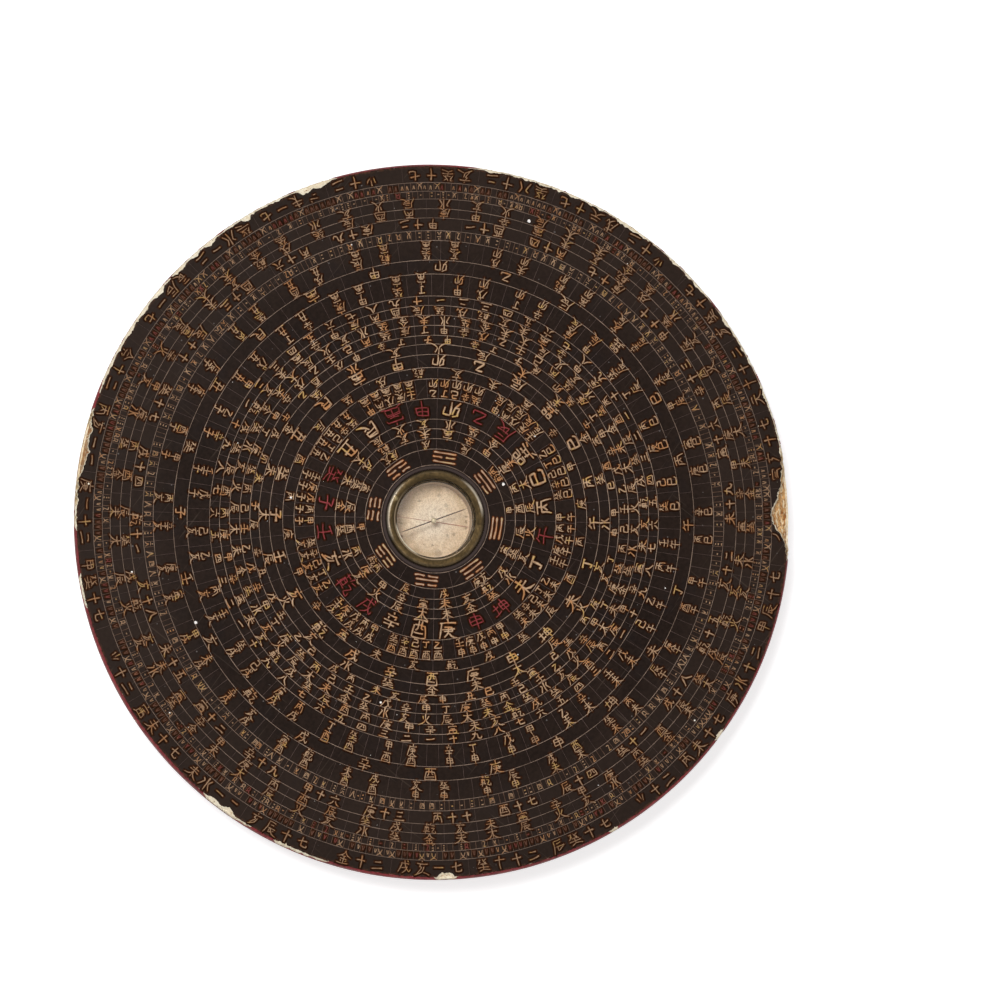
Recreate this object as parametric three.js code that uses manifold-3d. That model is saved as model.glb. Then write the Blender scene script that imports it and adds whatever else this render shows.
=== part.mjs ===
// A feng shui compass: a lacquered wooden dial disc with a glazed needle pool at its centre.
// Millimetres, +Z up, lying on its foot. The origin is the centre of the foot, +X the dial's east, +Y its north.
import * as THREE from "three";
import { mergeVertices } from "three/addons/utils/BufferGeometryUtils.js";
import Module from "manifold-3d";

const wasm = await Module();
wasm.setup();

// Disc, from its foot up
const discRadius = 108; // at the widest line of the edge
const faceHeight = 18; // foot to dial face
const edgeHeight = 8; // crowned band below the face
const edgeCrown = 0.7; // how far that band swells past the face
const footRadius = 55; // flat circle that the disc rests on
const undersideBulge = 3; // swell of the underside past a straight cone

// Coats on the wood
const lacquerThickness = 0.25;
const groundThickness = 0.5;
const collarWidth = 1.25; // raised lacquer bead around the bezel
const collarHeight = 0.35;

// Worn places along the rim
const chipReach = 5.4; // inward depth of the deepest chip
const groundChipDrop = 0.4; // how low a shallow chip cuts the ground at the rim
const woodChipDrop = 2.6; // how low a deep chip cuts the wood at the rim
const edgeCoatLoss = 1.1; // lacquer lost down the edge beside a shallow chip
const edgeCoatLossDeep = 4.6; // the same beside a deep chip

// Needle pool
const bezelOuterRadius = 14.8;
const bezelWall = 2.8;
const bezelProud = 1.1; // above the dial face
const bezelDepth = 3.4; // below the dial face
const bezelRound = 0.9; // outer top edge
const bezelEase = 0.25; // inner top edge
const ledgeWidth = 0.7; // step in the wood under the glass
const poolDepth = 11; // dial face to the wood under the floor card
const floorThickness = 0.5;
const glassThickness = 1.4;
const glassEase = 0.2;
const wireRadius = 0.4;
const grooveDepth = 0.3;
const wireGap = 0.7; // between the two ends of the wire

// Needle and pin
const needleEndClearance = 0.4; // needle tip to the pool's wall
const needleHalfWidth = 0.19;
const needleTaper = 2.2;
const needleThickness = 0.22;
const eyeRadius = 0.78;
const eyeHoleRadius = 0.5;
const capHeadRadius = 0.85;
const capHeadHeight = 0.6;
const capSkirtRadius = 0.8;
const capSkirtHeight = 1;
const capMouthRadius = 0.55;
const capRoof = 0.35; // brass left above the cone that sits on the pin
const pinRadius = 0.45;
const pinTaper = 2.6;
const pinRootDepth = 3; // part of the pin that is driven into the wood
const needleHeight = 4.3; // floor card to the underside of the blade

// Clearances and the length by which cutters overrun what they cut
const seatClearance = 0.05;
const wireClearance = 0.1;
const tipClearance = 0.1;
const overrun = 2;

// Angles and counts
const needleBearing = 151.6; // clockwise from the dial's north, in degrees
const wireSplitBearing = 228;
const discSegments = 72;
const poolSegments = 48;
const needleSegments = 20;
const edgeSteps = 4;
const undersideSteps = 4;
const roundSteps = 4;
const wireSides = 8;

// How much of a chip's reach in the lacquer the coats below it share
const groundReachShare = 0.93;
const woodReachShare = 0.84;

// Rim chips, by bearing. reach is a share of chipReach, and edge gives shares of the chip's own reach.
// A chip lays the ground bare, breaks it, or goes through it into the wood.
const thinShares = [0, 0.8, 1, 0.7, 0.95, 0.6, 1, 0.85, 0];
const notchShares = [0, 0.75, 1, 0.9, 1, 0.5, 0];
const frontNotchShares = [0, 0.45, 0.5, 0.55, 0.8, 1, 0.6, 0.5, 0.45, 0];
const deepShares = [0, 0.22, 0.36, 0.45, 0.55, 0.68, 0.93, 1, 0.95, 0.62, 0.4, 0.3, 0.1, 0];
const chipShares = [
  { from: 97.6, to: 106.8, reach: 0.15, into: "coat", edge: thinShares },
  { from: 106.6, to: 109.8, reach: 0.23, into: "ground", edge: notchShares },
  { from: 109.6, to: 121.6, reach: 0.31, into: "ground", edge: frontNotchShares },
  { from: 121.6, to: 133.6, reach: 0.15, into: "coat", edge: thinShares },
  { from: 136.1, to: 148.6, reach: 0.15, into: "coat", edge: thinShares },
  { from: 148.4, to: 161.8, reach: 0.16, into: "coat", edge: thinShares },
  { from: 160.6, to: 178.6, reach: 1, into: "wood", edge: deepShares },
  { from: 207.8, to: 209.4, reach: 0.17, into: "coat", edge: notchShares },
  { from: 220.9, to: 222.3, reach: 0.15, into: "coat", edge: notchShares },
  { from: 231.4, to: 232.8, reach: 0.15, into: "coat", edge: notchShares },
  { from: 258.3, to: 261.5, reach: 0.37, into: "ground", edge: notchShares },
  { from: 285.4, to: 287.9, reach: 0.18, into: "coat", edge: notchShares },
  { from: 293.6, to: 301.8, reach: 0.36, into: "ground", edge: [0, 0.35, 0.25, 1, 0.4, 0.85, 0.8, 0] },
  { from: 346.6, to: 358, reach: 0.18, into: "coat", edge: thinShares },
  { from: 357.6, to: 369.8, reach: 0.45, into: "wood", edge: [0, 0.6, 0.85, 1, 0.95, 0.7, 0.8, 0.6, 0.5, 0] },
  { from: 24.6, to: 33.8, reach: 0.32, into: "ground", edge: [0, 0.5, 0.7, 0.55, 0.6, 0.8, 1, 0.3, 0] },
  { from: 33.8, to: 44.8, reach: 0.21, into: "coat", edge: thinShares },
  { from: 48.4, to: 50.8, reach: 0.31, into: "ground", edge: notchShares },
  { from: 58.4, to: 65.6, reach: 0.45, into: "ground", edge: [0, 0.9, 1, 0.75, 0.85, 0.7, 0.45, 0] },
];

// Levels and fits worked out from the sizes above
const ledgeHeight = faceHeight - bezelDepth;
const bezelInnerRadius = bezelOuterRadius - bezelWall;
const poolRadius = bezelInnerRadius - ledgeWidth;
const needleHalfLength = poolRadius - needleEndClearance;
const glassRadius = bezelInnerRadius - wireClearance;
const glassTop = ledgeHeight + glassThickness;
const bezelTop = faceHeight + bezelProud;
const wireHeight = glassTop + seatClearance + wireRadius;
const wireRingRadius = bezelInnerRadius + grooveDepth - wireClearance - wireRadius;
const bezelHoleRadius = bezelOuterRadius + seatClearance;
const floorBottom = faceHeight - poolDepth;
const floorTop = floorBottom + floorThickness;
const bladeBottom = floorTop + needleHeight;
const bladeTop = bladeBottom + needleThickness;
const capTop = bladeTop + seatClearance + capHeadHeight;
const capBottom = bladeBottom - capSkirtHeight;
const pinTip = capTop - capRoof - tipClearance;
const pinHoleRadius = pinRadius + seatClearance;

const point = (r, z) => new THREE.Vector2(r, z);
const radians = THREE.MathUtils.degToRad;
const bearingAngle = (bearing) => radians(90 - bearing);

// Circle through two points of a turned outline that swells outwards by a given amount between them.
function bulgeCircle(low, high, bulge) {
  const chord = new THREE.Vector2().subVectors(high, low);
  const half = chord.length() / 2;
  const radius = (half * half + bulge * bulge) / (2 * bulge);
  const inward = point(-chord.y, chord.x).normalize();
  const centre = low.clone().lerp(high, 0.5).addScaledVector(inward, radius - bulge);
  return { centre, radius };
}

const faceRadius = discRadius - edgeCrown;
const edgeCircle = bulgeCircle(
  point(faceRadius, faceHeight - edgeHeight),
  point(faceRadius, faceHeight),
  edgeCrown,
);
const undersideCircle = bulgeCircle(
  point(footRadius, 0),
  point(faceRadius, faceHeight - edgeHeight),
  undersideBulge,
);

const shrunk = (circle, inset) => ({ centre: circle.centre, radius: circle.radius - inset });

// Outer crossing of a circle with a level, and of the underside's circle with the edge's.
function atLevel({ centre, radius }, z) {
  const rise = z - centre.y;
  return point(centre.x + Math.sqrt(radius * radius - rise * rise), z);
}

function crossing(a, b) {
  const apart = new THREE.Vector2().subVectors(b.centre, a.centre);
  const distance = apart.length();
  const along = (distance ** 2 + a.radius ** 2 - b.radius ** 2) / (2 * distance);
  const across = Math.sqrt(a.radius ** 2 - along ** 2);
  const unit = apart.normalize();
  const foot = a.centre.clone().addScaledVector(unit, along);
  const side = point(unit.y, -unit.x);
  const first = foot.clone().addScaledVector(side, across);
  const second = foot.clone().addScaledVector(side, -across);
  return first.x > second.x ? first : second;
}

function arc({ centre, radius }, from, to, steps) {
  const start = Math.atan2(from.y - centre.y, from.x - centre.x);
  const sweep = Math.atan2(to.y - centre.y, to.x - centre.x) - start;
  return Array.from({ length: steps + 1 }, (_, i) => {
    const angle = start + (sweep * i) / steps;
    return point(centre.x + radius * Math.cos(angle), centre.y + radius * Math.sin(angle));
  });
}

// The disc's outline a given depth below its finished surface, from the axis at the foot to the rim at a top level.
function discOutline(inset, top = faceHeight - inset) {
  const edge = shrunk(edgeCircle, inset);
  const underside = shrunk(undersideCircle, inset);
  const corner = crossing(underside, edge);
  return [
    point(0, inset),
    ...arc(underside, atLevel(underside, inset), corner, undersideSteps),
    ...arc(edge, corner, atLevel(edge, top), edgeSteps).slice(1),
  ];
}

// A solid of revolution about +Z. Its outline runs anticlockwise with the radius to the right.
const turned = (outline, segments) =>
  new THREE.LatheGeometry(outline, segments).rotateX(Math.PI / 2);
const closed = (outline) => [...outline, outline[0].clone()];

function solidOf(geometry) {
  const bare = geometry.clone();
  bare.deleteAttribute("normal");
  bare.deleteAttribute("uv");
  const merged = mergeVertices(bare);
  return new wasm.Manifold(
    new wasm.Mesh({
      numProp: 3,
      vertProperties: merged.attributes.position.array,
      triVerts: new Uint32Array(merged.index.array),
    }),
  );
}

function geometryOf(solid) {
  const mesh = solid.getMesh();
  const geometry = new THREE.BufferGeometry();
  geometry.setAttribute("position", new THREE.BufferAttribute(mesh.vertProperties, 3));
  geometry.setIndex(new THREE.BufferAttribute(mesh.triVerts, 1));
  geometry.computeVertexNormals();
  return geometry;
}

const cutBy = (geometry, cutters) =>
  geometryOf(cutters.reduce((rest, cutter) => rest.subtract(solidOf(cutter)), solidOf(geometry)));

// A solid through a row of four-cornered sections, each anticlockwise as seen against the way the row runs.
function solidThrough(sections) {
  const corners = sections.flat();
  const index = [0, 3, 2, 0, 2, 1];
  for (let i = 0; i < corners.length - 4; i += 4) {
    for (let k = 0; k < 4; k += 1) {
      const [a, b] = [i + k, i + ((k + 1) % 4)];
      index.push(a, b, b + 4, a, b + 4, a + 4);
    }
  }
  const end = corners.length - 4;
  index.push(end, end + 1, end + 2, end, end + 2, end + 3);
  return new THREE.BufferGeometry().setFromPoints(corners).setIndex(index);
}

// The space outside one chip's ragged edge. edgeOf gives the radius and the bed's two levels for each share.
function chipCutter(chip, edgeOf) {
  const last = chip.edge.length - 1;
  return solidThrough(
    chip.edge.map((share, i) => {
      const angle = bearingAngle(chip.from + ((chip.to - chip.from) * i) / last);
      const at = (r, z) => new THREE.Vector3(r * Math.cos(angle), r * Math.sin(angle), z);
      const { radius, bed, outerBed = bed } = edgeOf(share);
      return [
        at(radius, bed),
        at(discRadius + overrun, outerBed),
        at(discRadius + overrun, faceHeight + overrun),
        at(radius, faceHeight + overrun),
      ];
    }),
  );
}

// A chip's bed that falls from a level at its inmost point by a drop at the rim.
function slopingChip(chip, reachShare, level, drop) {
  const reach = chip.reach * chipReach * reachShare;
  return chipCutter(chip, (share) => ({
    radius: discRadius - reach * share,
    bed: level - drop * (1 - share),
    outerBed: level - drop * (1 + overrun / reach),
  }));
}

const chipsInto = (...depths) => chipShares.filter((chip) => depths.includes(chip.into));

const finish = (color, roughness, metalness = 0) =>
  new THREE.MeshStandardMaterial({ color, roughness, metalness });
const finishes = {
  wood: finish(0xb98a55, 0.8),
  ground: finish(0xe6d8b4, 0.9),
  blackLacquer: finish(0x2a201e, 0.35),
  redLacquer: finish(0x8c2430, 0.45),
  oldBrass: finish(0x6c6244, 0.45, 0.9),
  brightBrass: finish(0xb9a66f, 0.35, 1),
  floorCard: finish(0xd9c6a6, 0.85),
  needleSteel: finish(0x3b2f25, 0.5, 0.8),
  glass: new THREE.MeshStandardMaterial({
    color: 0xf4f6f2,
    roughness: 0.05,
    metalness: 0,
    transparent: true,
    opacity: 0.25,
  }),
};

// Turned wooden body with the stepped pool and the hole for the pin.
function woodDisc() {
  const body = turned(
    [
      ...discOutline(lacquerThickness + groundThickness),
      point(bezelHoleRadius, faceHeight - lacquerThickness - groundThickness),
      point(bezelHoleRadius, ledgeHeight),
      point(poolRadius, ledgeHeight),
      point(poolRadius, floorBottom),
      point(pinHoleRadius, floorBottom),
      point(pinHoleRadius, floorBottom - pinRootDepth),
      point(0, floorBottom - pinRootDepth),
    ],
    discSegments,
  );
  const surface = faceHeight - lacquerThickness - groundThickness;
  return cutBy(
    body,
    chipsInto("wood").map((chip) => slopingChip(chip, woodReachShare, surface, woodChipDrop)),
  );
}

// Cream ground all round the wood, open at the bezel.
function groundCoat() {
  const inside = discOutline(lacquerThickness + groundThickness).reverse();
  const coat = turned(
    closed([
      ...discOutline(lacquerThickness),
      point(bezelHoleRadius, faceHeight - lacquerThickness),
      point(bezelHoleRadius, faceHeight - lacquerThickness - groundThickness),
      ...inside,
    ]),
    discSegments,
  );
  const surface = faceHeight - lacquerThickness;
  return cutBy(coat, [
    ...chipsInto("ground").map((chip) =>
      slopingChip(chip, groundReachShare, surface, groundChipDrop),
    ),
    ...chipsInto("wood").map((chip) =>
      slopingChip(chip, groundReachShare, surface - groundThickness, woodChipDrop),
    ),
  ]);
}

// Black skin of the dial face, with the bead around the bezel.
function faceLacquer() {
  const underLevel = faceHeight - lacquerThickness;
  const collarMiddle = bezelHoleRadius + collarWidth / 2;
  const collar = bulgeCircle(
    point(bezelHoleRadius + collarWidth, faceHeight),
    point(bezelHoleRadius, faceHeight),
    collarHeight,
  );
  const bead = Array.from({ length: roundSteps + 1 }, (_, i) => {
    const r = bezelHoleRadius + collarWidth * (1 - i / roundSteps);
    const rise = Math.sqrt(collar.radius ** 2 - (r - collarMiddle) ** 2);
    return point(r, faceHeight + collarHeight - collar.radius + rise);
  });
  const skin = turned(
    closed([
      point(bezelHoleRadius, underLevel),
      atLevel(edgeCircle, underLevel),
      point(faceRadius, faceHeight),
      ...bead,
    ]),
    discSegments,
  );
  return cutBy(
    skin,
    chipShares.map((chip) => slopingChip(chip, 1, underLevel - overrun, 0)),
  );
}

// Red skin of the edge and the underside.
function backLacquer() {
  const underLevel = faceHeight - lacquerThickness;
  const skin = turned(
    [...discOutline(0, underLevel), ...discOutline(lacquerThickness).reverse()],
    discSegments,
  );
  return cutBy(
    skin,
    chipShares.map((chip) => {
      const loss = chip.into === "wood" ? edgeCoatLossDeep : edgeCoatLoss;
      return chipCutter(chip, (share) => ({
        radius: faceRadius - overrun,
        bed: faceHeight - loss * share,
      }));
    }),
  );
}

// Brass ring, with an inside groove for the wire.
function bezelRing() {
  const grooveBottom = glassTop;
  const grooveTop = wireHeight + wireRadius + wireClearance;
  const round = {
    centre: point(bezelOuterRadius - bezelRound, bezelTop - bezelRound),
    radius: bezelRound,
  };
  return turned(
    closed([
      point(bezelInnerRadius, ledgeHeight),
      point(bezelOuterRadius, ledgeHeight),
      ...arc(
        round,
        point(bezelOuterRadius, bezelTop - bezelRound),
        point(bezelOuterRadius - bezelRound, bezelTop),
        roundSteps,
      ),
      point(bezelInnerRadius + bezelEase, bezelTop),
      point(bezelInnerRadius, bezelTop - bezelEase),
      point(bezelInnerRadius, grooveTop + grooveDepth),
      point(bezelInnerRadius + grooveDepth, grooveTop),
      point(bezelInnerRadius + grooveDepth, grooveBottom),
      point(bezelInnerRadius, grooveBottom),
    ]),
    discSegments,
  );
}

// Window glass with an eased upper edge.
function poolGlass() {
  return turned(
    [
      point(0, ledgeHeight),
      point(glassRadius, ledgeHeight),
      point(glassRadius, glassTop - glassEase),
      point(glassRadius - glassEase, glassTop),
      point(0, glassTop),
    ],
    poolSegments,
  );
}

// Split spring wire that holds the glass down.
function glassWire() {
  const section = new THREE.Shape(
    Array.from({ length: wireSides }, (_, i) => {
      const angle = (2 * Math.PI * (i + 0.5)) / wireSides;
      return point(wireRadius * Math.cos(angle), wireRadius * Math.sin(angle));
    }),
  );
  const halfGap = Math.asin(wireGap / (2 * wireRingRadius));
  const start = bearingAngle(wireSplitBearing) + halfGap;
  const sweep = 2 * Math.PI - 2 * halfGap;
  const path = new THREE.CatmullRomCurve3(
    Array.from({ length: poolSegments + 1 }, (_, i) => {
      const angle = start + (sweep * i) / poolSegments;
      const x = wireRingRadius * Math.cos(angle);
      const y = wireRingRadius * Math.sin(angle);
      return new THREE.Vector3(x, y, wireHeight);
    }),
  );
  return new THREE.ExtrudeGeometry(section, {
    steps: poolSegments,
    extrudePath: path,
    bevelEnabled: false,
  });
}

// Pale card at the bottom of the pool.
function poolFloor() {
  const rim = poolRadius - seatClearance;
  return turned(
    closed([
      point(pinHoleRadius, floorBottom),
      point(rim, floorBottom),
      point(rim, floorTop),
      point(pinHoleRadius, floorTop),
    ]),
    poolSegments,
  );
}

function pivotPin() {
  return turned(
    [
      point(0, floorBottom - pinRootDepth),
      point(pinRadius, floorBottom - pinRootDepth),
      point(pinRadius, pinTip - pinTaper),
      point(0, pinTip),
    ],
    needleSegments,
  );
}

// Thin steel blade with an eye at its middle, lying along +X.
function needleBlade() {
  const shoulder = Math.asin(needleHalfWidth / eyeRadius);
  const armEnd = needleHalfLength - needleTaper;
  const outline = new THREE.Shape();
  outline.moveTo(needleHalfLength, 0);
  outline.lineTo(armEnd, needleHalfWidth);
  outline.absarc(0, 0, eyeRadius, shoulder, Math.PI - shoulder, false);
  outline.lineTo(-armEnd, needleHalfWidth);
  outline.lineTo(-needleHalfLength, 0);
  outline.lineTo(-armEnd, -needleHalfWidth);
  outline.absarc(0, 0, eyeRadius, Math.PI + shoulder, 2 * Math.PI - shoulder, false);
  outline.lineTo(armEnd, -needleHalfWidth);
  outline.closePath();
  const hole = new THREE.Path();
  hole.absarc(0, 0, eyeHoleRadius, 0, 2 * Math.PI, true);
  outline.holes.push(hole);
  return new THREE.ExtrudeGeometry(outline, {
    depth: needleThickness,
    curveSegments: needleSegments / 2,
    bevelEnabled: false,
  });
}

// Brass cap riveted through the eye, with a cone inside that sits on the pin.
function needleCap() {
  const neck = eyeHoleRadius - seatClearance;
  const headBottom = bladeTop + seatClearance;
  const head = bulgeCircle(
    point(capHeadRadius, headBottom),
    point(-capHeadRadius, headBottom),
    capHeadHeight,
  );
  return turned(
    [
      point(0, pinTip + tipClearance),
      point(capMouthRadius, capBottom),
      point(capSkirtRadius, capBottom),
      point(capSkirtRadius, bladeBottom),
      point(neck, bladeBottom),
      point(neck, headBottom),
      ...arc(head, point(capHeadRadius, headBottom), point(0, capTop), roundSteps),
    ],
    needleSegments,
  );
}

const part = new THREE.Group();
part.name = "feng_shui_compass";

function add(parent, name, geometry, material) {
  const mesh = new THREE.Mesh(geometry, material);
  mesh.name = name;
  parent.add(mesh);
  return mesh;
}

add(part, "wood_disc", woodDisc(), finishes.wood);
add(part, "ground_coat", groundCoat(), finishes.ground);
add(part, "face_lacquer", faceLacquer(), finishes.blackLacquer);
add(part, "back_lacquer", backLacquer(), finishes.redLacquer);
add(part, "bezel_ring", bezelRing(), finishes.oldBrass);
add(part, "pool_glass", poolGlass(), finishes.glass);
add(part, "glass_wire", glassWire(), finishes.brightBrass);
add(part, "pool_floor", poolFloor(), finishes.floorCard);
add(part, "pivot_pin", pivotPin(), finishes.brightBrass);

const needle = new THREE.Group();
needle.rotation.z = bearingAngle(needleBearing);
part.add(needle);
const blade = add(needle, "needle_blade", needleBlade(), finishes.needleSteel);
blade.position.z = bladeBottom;
add(needle, "needle_cap", needleCap(), finishes.brightBrass);

export default part;
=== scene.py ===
# Looks of an old feng shui compass: a lacquered wooden dial with painted rings and a glazed needle pool.
import math

import bmesh
import bpy
import numpy as np
from mathutils import Matrix, Vector


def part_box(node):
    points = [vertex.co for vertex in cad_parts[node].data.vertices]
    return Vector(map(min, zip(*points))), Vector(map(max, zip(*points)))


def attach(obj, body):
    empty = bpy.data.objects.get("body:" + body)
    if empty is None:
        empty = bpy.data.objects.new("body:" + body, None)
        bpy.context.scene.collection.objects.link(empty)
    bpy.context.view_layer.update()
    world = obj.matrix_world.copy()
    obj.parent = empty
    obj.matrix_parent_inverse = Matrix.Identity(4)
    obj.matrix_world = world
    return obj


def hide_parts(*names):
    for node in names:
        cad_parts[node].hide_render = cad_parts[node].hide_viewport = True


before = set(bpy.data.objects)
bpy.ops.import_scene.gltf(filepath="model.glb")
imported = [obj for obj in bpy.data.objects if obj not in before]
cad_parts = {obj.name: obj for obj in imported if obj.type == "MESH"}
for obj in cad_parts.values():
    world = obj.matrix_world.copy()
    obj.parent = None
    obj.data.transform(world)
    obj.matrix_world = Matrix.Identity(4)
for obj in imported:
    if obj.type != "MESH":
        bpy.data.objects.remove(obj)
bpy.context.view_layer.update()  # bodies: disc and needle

mm = 0.001
perMm = 1000  # texture scales are in features a millimetre


def boxOf(node):  # corners of a node in mm
    low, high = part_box(node)
    return Vector(low) / mm, Vector(high) / mm


discSize = {
    "radius": boxOf("back_lacquer")[1].x,
    "crown": 0.7,  # how far the edge swells
    "edgeBottom": 10.0,  # level where the edge turns under
    "footRadius": 55.0,
    "undersideSwell": 3.0,
    "shoulder": 16.6,  # level where the coats are thickest
    "fullness": 0.29,  # and how much thicker they are there
    "skin": 0.25,  # thickness of the lacquer
    "ground": 0.5,
    "steps": 1440,  # round the disc
    "faceSteps": 2160,
}
clearance = 0.05  # mm between one piece and the next
faceLevel = boxOf("face_lacquer")[0].z + discSize["skin"]
groundLevel = faceLevel - discSize["skin"]
woodLevel = groundLevel - discSize["ground"]
faceRadius = discSize["radius"] - discSize["crown"]
bezelLow, bezelHigh = boxOf("bezel_ring")
glassLow, glassHigh = boxOf("pool_glass")
wireLow, wireHigh = boxOf("glass_wire")
floorLow, floorHigh = boxOf("pool_floor")
bladeLow, bladeHigh = boxOf("needle_blade")
capLow, capHigh = boxOf("needle_cap")
bezelHole = bezelHigh.x + clearance
poolRadius = floorHigh.x + clearance

# Selection and small tools


def deselectAll():
    bpy.ops.object.select_all(action="DESELECT")


def pick(piece):
    deselectAll()
    piece.select_set(True)
    bpy.context.view_layer.objects.active = piece


def placesOf(piece):  # vertex places in mm
    places = np.empty(len(piece.data.vertices) * 3, np.float32)
    piece.data.vertices.foreach_get("co", places)
    return places.reshape(-1, 3) / mm


def setPlaces(piece, places):
    piece.data.vertices.foreach_set("co", (places * mm).astype(np.float32).ravel())
    piece.data.update()


def dress(piece, material, body, slot, *nodes):  # finish, body, slot (not used) and the nodes that a piece stands for
    piece.data.materials.clear()
    piece.data.materials.append(material)
    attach(piece, body)
    if nodes:
        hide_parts(*nodes)


def smoothByAngle(piece, degrees):
    pick(piece)
    bpy.ops.object.shade_smooth_by_angle(angle=math.radians(degrees))
    return piece


# Turning: sections of (radius, level) points in mm make an outline, which is spun round the dial's axis. One
# that starts on the axis ends there too. newPlace moves the vertices, by section, number in it and place.
def turnPiece(name, sections, steps, smooth=40, newPlace=None):
    outline = sum(sections, [])
    deselectAll()
    bpy.ops.mesh.primitive_circle_add(vertices=len(outline), radius=discSize["radius"] * mm)
    piece = bpy.context.object
    piece.name = name
    for vertex, (radius, level) in zip(piece.data.vertices, outline):
        vertex.co = (0, radius * mm, level * mm)
    if outline[0][0] == 0:  # the closing edge would lie on the axis, so it goes
        bpy.ops.object.mode_set(mode="EDIT")
        bpy.ops.mesh.select_mode(type="EDGE")
        bpy.ops.mesh.select_all(action="DESELECT")
        shape = bmesh.from_edit_mesh(piece.data)
        shape.verts.ensure_lookup_table()
        shape.edges.get((shape.verts[0], shape.verts[len(outline) - 1])).select_set(True)
        bmesh.update_edit_mesh(piece.data)
        bpy.ops.mesh.delete(type="EDGE")
        bpy.ops.mesh.select_mode(type="VERT")
        bpy.ops.object.mode_set(mode="OBJECT")
    turning = piece.modifiers.new("turning", "SCREW")
    turning.angle = 2 * math.pi
    turning.steps = turning.render_steps = steps
    turning.use_merge_vertices = True
    turning.merge_threshold = 1e-7
    bpy.ops.object.modifier_apply(modifier="turning")
    bpy.ops.object.mode_set(mode="EDIT")
    bpy.ops.mesh.select_all(action="SELECT")
    bpy.ops.mesh.remove_doubles(threshold=1e-7)
    bpy.ops.mesh.normals_make_consistent(inside=False)
    bpy.ops.object.mode_set(mode="OBJECT")
    if newPlace:
        places = placesOf(piece)
        radius = np.hypot(places[:, 0], places[:, 1])
        bearing = np.degrees(np.arctan2(places[:, 0], places[:, 1])) % 360
        spots = np.array(outline)
        away = (radius[:, None] - spots[:, 0]) ** 2 + (places[:, 2:] - spots[:, 1]) ** 2
        lengths = [len(section) for section in sections]
        index = away.argmin(1)
        section = np.repeat(np.arange(len(sections)), lengths)[index]
        number = np.concatenate([np.arange(length) for length in lengths])[index]
        newRadius, newLevel = newPlace(section, number, bearing, radius, places[:, 2])
        places[:, :2] *= (newRadius / np.maximum(radius, 1e-6))[:, None]
        places[:, 2] = newLevel
        setPlaces(piece, places)
    return smoothByAngle(piece, smooth)


def stretched(value, low, high, newHigh):  # follows the upper end when that moves
    return low + (newHigh - low) * (value - low) / (high - low)


def heading(bearings):  # a step of one along each bearing, to the dial's east and north
    turn = np.radians(bearings)
    return np.stack([np.sin(turn), np.cos(turn)], -1)


# Ragged lines and patches from seeded noise


def easeIn(share):
    share = np.clip(share, 0, 1)
    return share * share * (3 - 2 * share)


def waver(seed, cells, bearings):  # smooth noise from -1 to 1 round the circle
    values = np.random.default_rng(seed).uniform(-1, 1, cells)
    at = np.asarray(bearings) / 360 * cells
    low = np.floor(at).astype(int)
    share = easeIn(at - low)
    return values[low % cells] * (1 - share) + values[(low + 1) % cells] * share


def patches(seed, across, along):  # smooth noise from -1 to 1 over two coordinates
    size = 256
    values = np.random.default_rng(seed).uniform(-1, 1, (size, size))
    a, b = np.floor(across).astype(int), np.floor(along).astype(int)
    s, t = easeIn(across - a), easeIn(along - b)
    near = values[a % size, b % size] * (1 - s) + values[(a + 1) % size, b % size] * s
    far = values[a % size, (b + 1) % size] * (1 - s) + values[(a + 1) % size, (b + 1) % size] * s
    return near * (1 - t) + far * t


# Outline of the disc


def swellCircle(low, high, swell):  # circle through two points of an outline that swells between them
    chord = np.subtract(high, low)
    half = np.hypot(*chord) / 2
    radius = (half**2 + swell**2) / (2 * swell)
    inward = np.array([-chord[1], chord[0]]) / (2 * half)
    return np.add(low, high) / 2 + inward * (radius - swell), radius


edgeFoot = (faceRadius, discSize["edgeBottom"])
edgeCircle = swellCircle(edgeFoot, (faceRadius, faceLevel), discSize["crown"])
undersideCircle = swellCircle((discSize["footRadius"], 0), edgeFoot, discSize["undersideSwell"])


def radiusAt(circle, level, inset):
    centre, radius = circle
    return centre[0] + np.sqrt(np.maximum((radius - inset) ** 2 - (level - centre[1]) ** 2, 0))


def cornerLevel(inset):  # where the underside meets the edge
    levels = np.linspace(discSize["edgeBottom"] - 1, discSize["edgeBottom"] + 2, 3001)
    apart = np.abs(radiusAt(undersideCircle, levels, inset) - radiusAt(edgeCircle, levels, inset))
    return levels[apart.argmin()]


def undersideOutline(inset, count):  # from the axis to the corner
    levels = inset + (cornerLevel(inset) - inset) * np.linspace(0, 1, count)
    return [(0, inset)] + [(radiusAt(undersideCircle, z, inset), z) for z in levels]


def edgeOutline(inset, top, count):  # from just above the corner to the top
    low = cornerLevel(inset)
    levels = low + (top - low) * np.linspace(0, 1, count + 1)[1:]
    return [(radiusAt(edgeCircle, z, inset), z) for z in levels]


def fullEdge(level):  # the coats are thickest at the shoulder
    low, top, shoulder = discSize["edgeBottom"], faceLevel, discSize["shoulder"]
    below = easeIn((level - low) / (shoulder - low))
    above = np.clip((top - level) / (top - shoulder), 0, 1) ** 0.5
    bulge = radiusAt(edgeCircle, level, 0) + discSize["fullness"] * np.where(level < shoulder, below, above)
    return np.minimum(bulge, discSize["radius"])


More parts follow.
